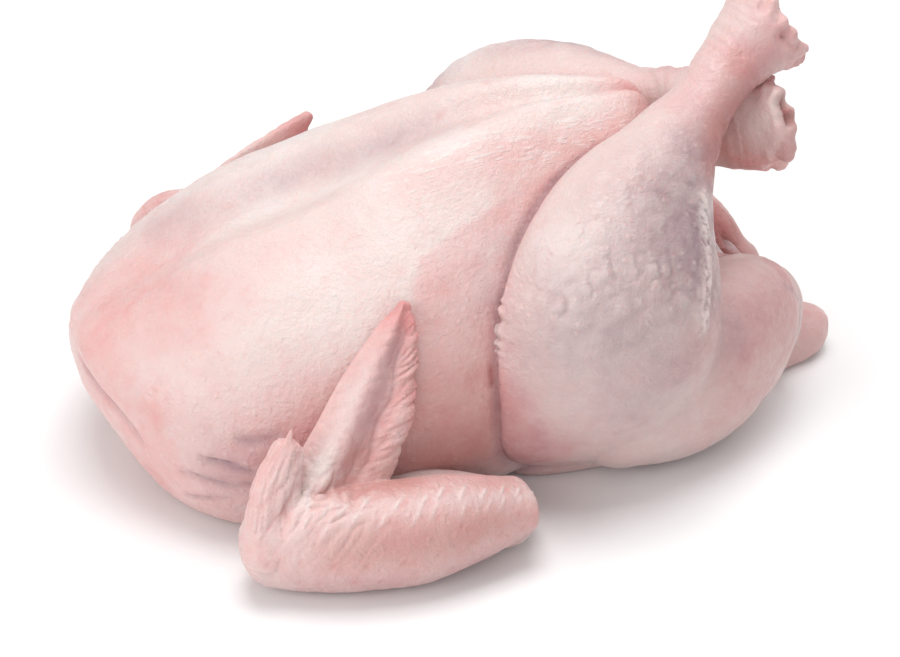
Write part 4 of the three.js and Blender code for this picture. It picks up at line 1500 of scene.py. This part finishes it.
def skin_colour(tree, swelling, pit, stroke):
    """Fat, pink, mauve and raw flesh laid over plain skin, then the colours of strokes and pimples."""
    wide = texture(tree, NOISE, 45, Detail=5.0, Roughness=0.6)
    small = texture(tree, NOISE, 210, Detail=4.0, Roughness=0.6)
    blotch = texture(tree, NOISE, 110, Detail=6.0, Roughness=0.65, Distortion=0.6)
    uneven, speckle = remap(tree, wide, 0.3, 0.7, 0.6, 1.15), remap(tree, small, 0.3, 0.7, -0.1, 0.1)
    broken = reckon(tree, "ADD", uneven, speckle)
    cream = reckon(tree, "MULTIPLY", painted(tree, "cream"), broken)
    blotches = remap(tree, blotch, 0.5, 0.75, 0.0, 0.16)
    flush = reckon(tree, "MULTIPLY_ADD", painted(tree, "pink"), broken, blotches)
    clouds = remap(tree, wide, 0.55, 0.75, 0.0, 0.1)
    dusk_and_shade = reckon(tree, "MULTIPLY_ADD", painted(tree, "mauve"), broken, clouds)
    between = reckon(tree, "SUBTRACT", painted(tree, "drawn"), stroke)
    flesh = over(tree, remap(tree, small, 0.4, 0.65), RAW, DARK_RAW)
    colour = SKIN
    for layer, strength, above in (
        (cream, 1.0, CREAM),
        (flush, 1.0, PINK),
        (dusk_and_shade, 1.0, MAUVE),
        (between, 0.2, PINK),
        (stroke, 0.3, CREAM),
        (swelling, 0.3, CREAM),
        (pit, 0.16, PINK),
        (painted(tree, "pore"), 0.7, PORE),
        (painted(tree, "raw"), 1.0, flesh),
    ):
        colour = over(tree, reckon(tree, "MULTIPLY", layer, strength), colour, above)
    return colour, small


def wet_material(name, subsurface, radius, scale):
    """A new material that light scatters in: (material, tree, shader), the scale in metres."""
    material = bpy.data.materials.new(name)
    material.use_nodes = True
    shader = material.node_tree.nodes["Principled BSDF"]
    shader.inputs["Subsurface Weight"].default_value = subsurface
    shader.inputs["Subsurface Radius"].default_value = radius
    shader.inputs["Subsurface Scale"].default_value = scale
    return material, material.node_tree, shader


def add_bump(tree, shader, height, strength, distance):
    """Bends the shader's normal by a height, one unit of it the distance in metres."""
    bump = tree.nodes.new("ShaderNodeBump")
    bump.inputs["Strength"].default_value = strength
    bump.inputs["Distance"].default_value = distance
    tree.links.new(height, bump.inputs["Height"])
    tree.links.new(bump.outputs["Normal"], shader.inputs["Normal"])


def skin_material():
    """Thin moist skin: painted shades, pimples and strokes, with light scattered red furthest."""
    material, tree, shader = wet_material("raw_skin", 0.3, (1.0, 0.45, 0.35), 0.0012)
    swelling, pit = (reckon(tree, "MULTIPLY", share, painted(tree, "pimples")) for share in pimples(tree))
    stroke = reckon(tree, "MULTIPLY", strokes(tree), painted(tree, "drawn"))
    colour, small = skin_colour(tree, swelling, pit, stroke)
    tree.links.new(colour, shader.inputs["Base Color"])
    tree.links.new(remap(tree, small, 0.35, 0.7, 0.34, 0.55), shader.inputs["Roughness"])
    shader.inputs["Specular IOR Level"].default_value = 0.45
    add_bump(tree, shader, skin_relief(tree, swelling, pit, stroke), 1.0, MM)
    return material


# %% Cartilage
def cartilage_material():
    """Pearly white, clouded bluish and flecked with pink, smooth and wet."""
    material, tree, shader = wet_material("cartilage", 0.4, (1.0, 0.6, 0.5), 0.002)
    cloudy = texture(tree, NOISE, 260, Detail=4.0)
    fleck = texture(tree, NOISE, 600, Detail=3.0, Distortion=1.0)
    colour = over(tree, remap(tree, cloudy, 0.4, 0.65), PEARL, BLUISH)
    colour = over(tree, remap(tree, fleck, 0.55, 0.75, 0.0, 0.7), colour, FLECK)
    tree.links.new(colour, shader.inputs["Base Color"])
    tree.links.new(remap(tree, cloudy, 0.3, 0.7, 0.18, 0.34), shader.inputs["Roughness"])
    add_bump(tree, shader, fleck, 0.2, 0.0003)
    return material


skin, cartilage = skin_material(), cartilage_material()
finished = [(piece["object"], skin) for piece in pieces] + [(obj, cartilage) for obj in hocks]
for obj, material in finished:
    obj.data.materials.append(material)
    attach(obj, "root")
    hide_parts("chicken")
print("pieces:", [obj.name for obj, _ in finished])

# %% [markdown]
# ## Floor, light and camera
# A pale floor and four broad lights: the strongest overhead, the next on the left, a weak one in front and
# one behind on the right. Broad lights keep the shadows soft, and the pale floor throws light back under
# the bird.

# %% Floor and lights
FLOOR_SIZE, FLOOR_WHITE, SKY_STRENGTH = 6, 0.9, 0.455
AIM = (0, 0, 0.05)  # of every light
# Lights: name, place, width in metres, watts
LIGHTS = [
    ("top", (0.0, 0.1, 1.4), 0.8, 11.8),
    ("left", (-1.3, -0.5, 0.6), 1.0, 9.0),
    ("front", (-0.3, -1.2, 0.7), 1.2, 3.2),
    ("right", (0.9, 0.55, 0.9), 0.8, 4.0),
]
bpy.ops.mesh.primitive_plane_add(size=FLOOR_SIZE)
floor = bpy.context.object
floor.name = "floor"
white = bpy.data.materials.new("floor_white")
white.use_nodes = True
white.node_tree.nodes["Principled BSDF"].inputs["Base Color"].default_value = (*[FLOOR_WHITE] * 3, 1)
floor.data.materials.append(white)

world = bpy.data.worlds.new("studio")
bpy.context.scene.world = world
world.use_nodes = True
world.node_tree.nodes["Background"].inputs[0].default_value = (1, 1, 1, 1)
world.node_tree.nodes["Background"].inputs[1].default_value = SKY_STRENGTH


def area_light(name, place, size, power):
    """A square light that faces the bird."""
    light = bpy.data.lights.new(name, "AREA")
    light.size = size
    light.energy = power
    obj = bpy.data.objects.new(name, light)
    bpy.context.collection.objects.link(obj)
    obj.location = place
    obj.rotation_euler = (Vector(AIM) - Vector(place)).to_track_quat("-Z", "Y").to_euler()


for row in LIGHTS:
    area_light(*row)
print("lights:", len(LIGHTS))

# %% Camera
AZIMUTH, ELEVATION, DISTANCE = np.radians(-15), np.radians(33), 1.2
TARGET = Vector((-0.0006 + TO_FRAME[0] * MM, 0, 0.0292))
PIXELS_PER_MM, IMAGE_WIDTH, SENSOR = 2.85, 900, 36.0
back = Vector((np.sin(AZIMUTH) * np.cos(ELEVATION), -np.cos(AZIMUTH) * np.cos(ELEVATION), np.sin(ELEVATION)))
camera_data = bpy.data.cameras.new("camera")
camera_data.lens = PIXELS_PER_MM * DISTANCE / MM / IMAGE_WIDTH * SENSOR
camera_data.sensor_width = SENSOR
camera = bpy.data.objects.new("camera", camera_data)
bpy.context.collection.objects.link(camera)
camera.location = TARGET + back * DISTANCE
camera.rotation_euler = (-back).to_track_quat("-Z", "Y").to_euler()
bpy.context.scene.camera = camera
bpy.context.scene.view_settings.view_transform = "Standard"
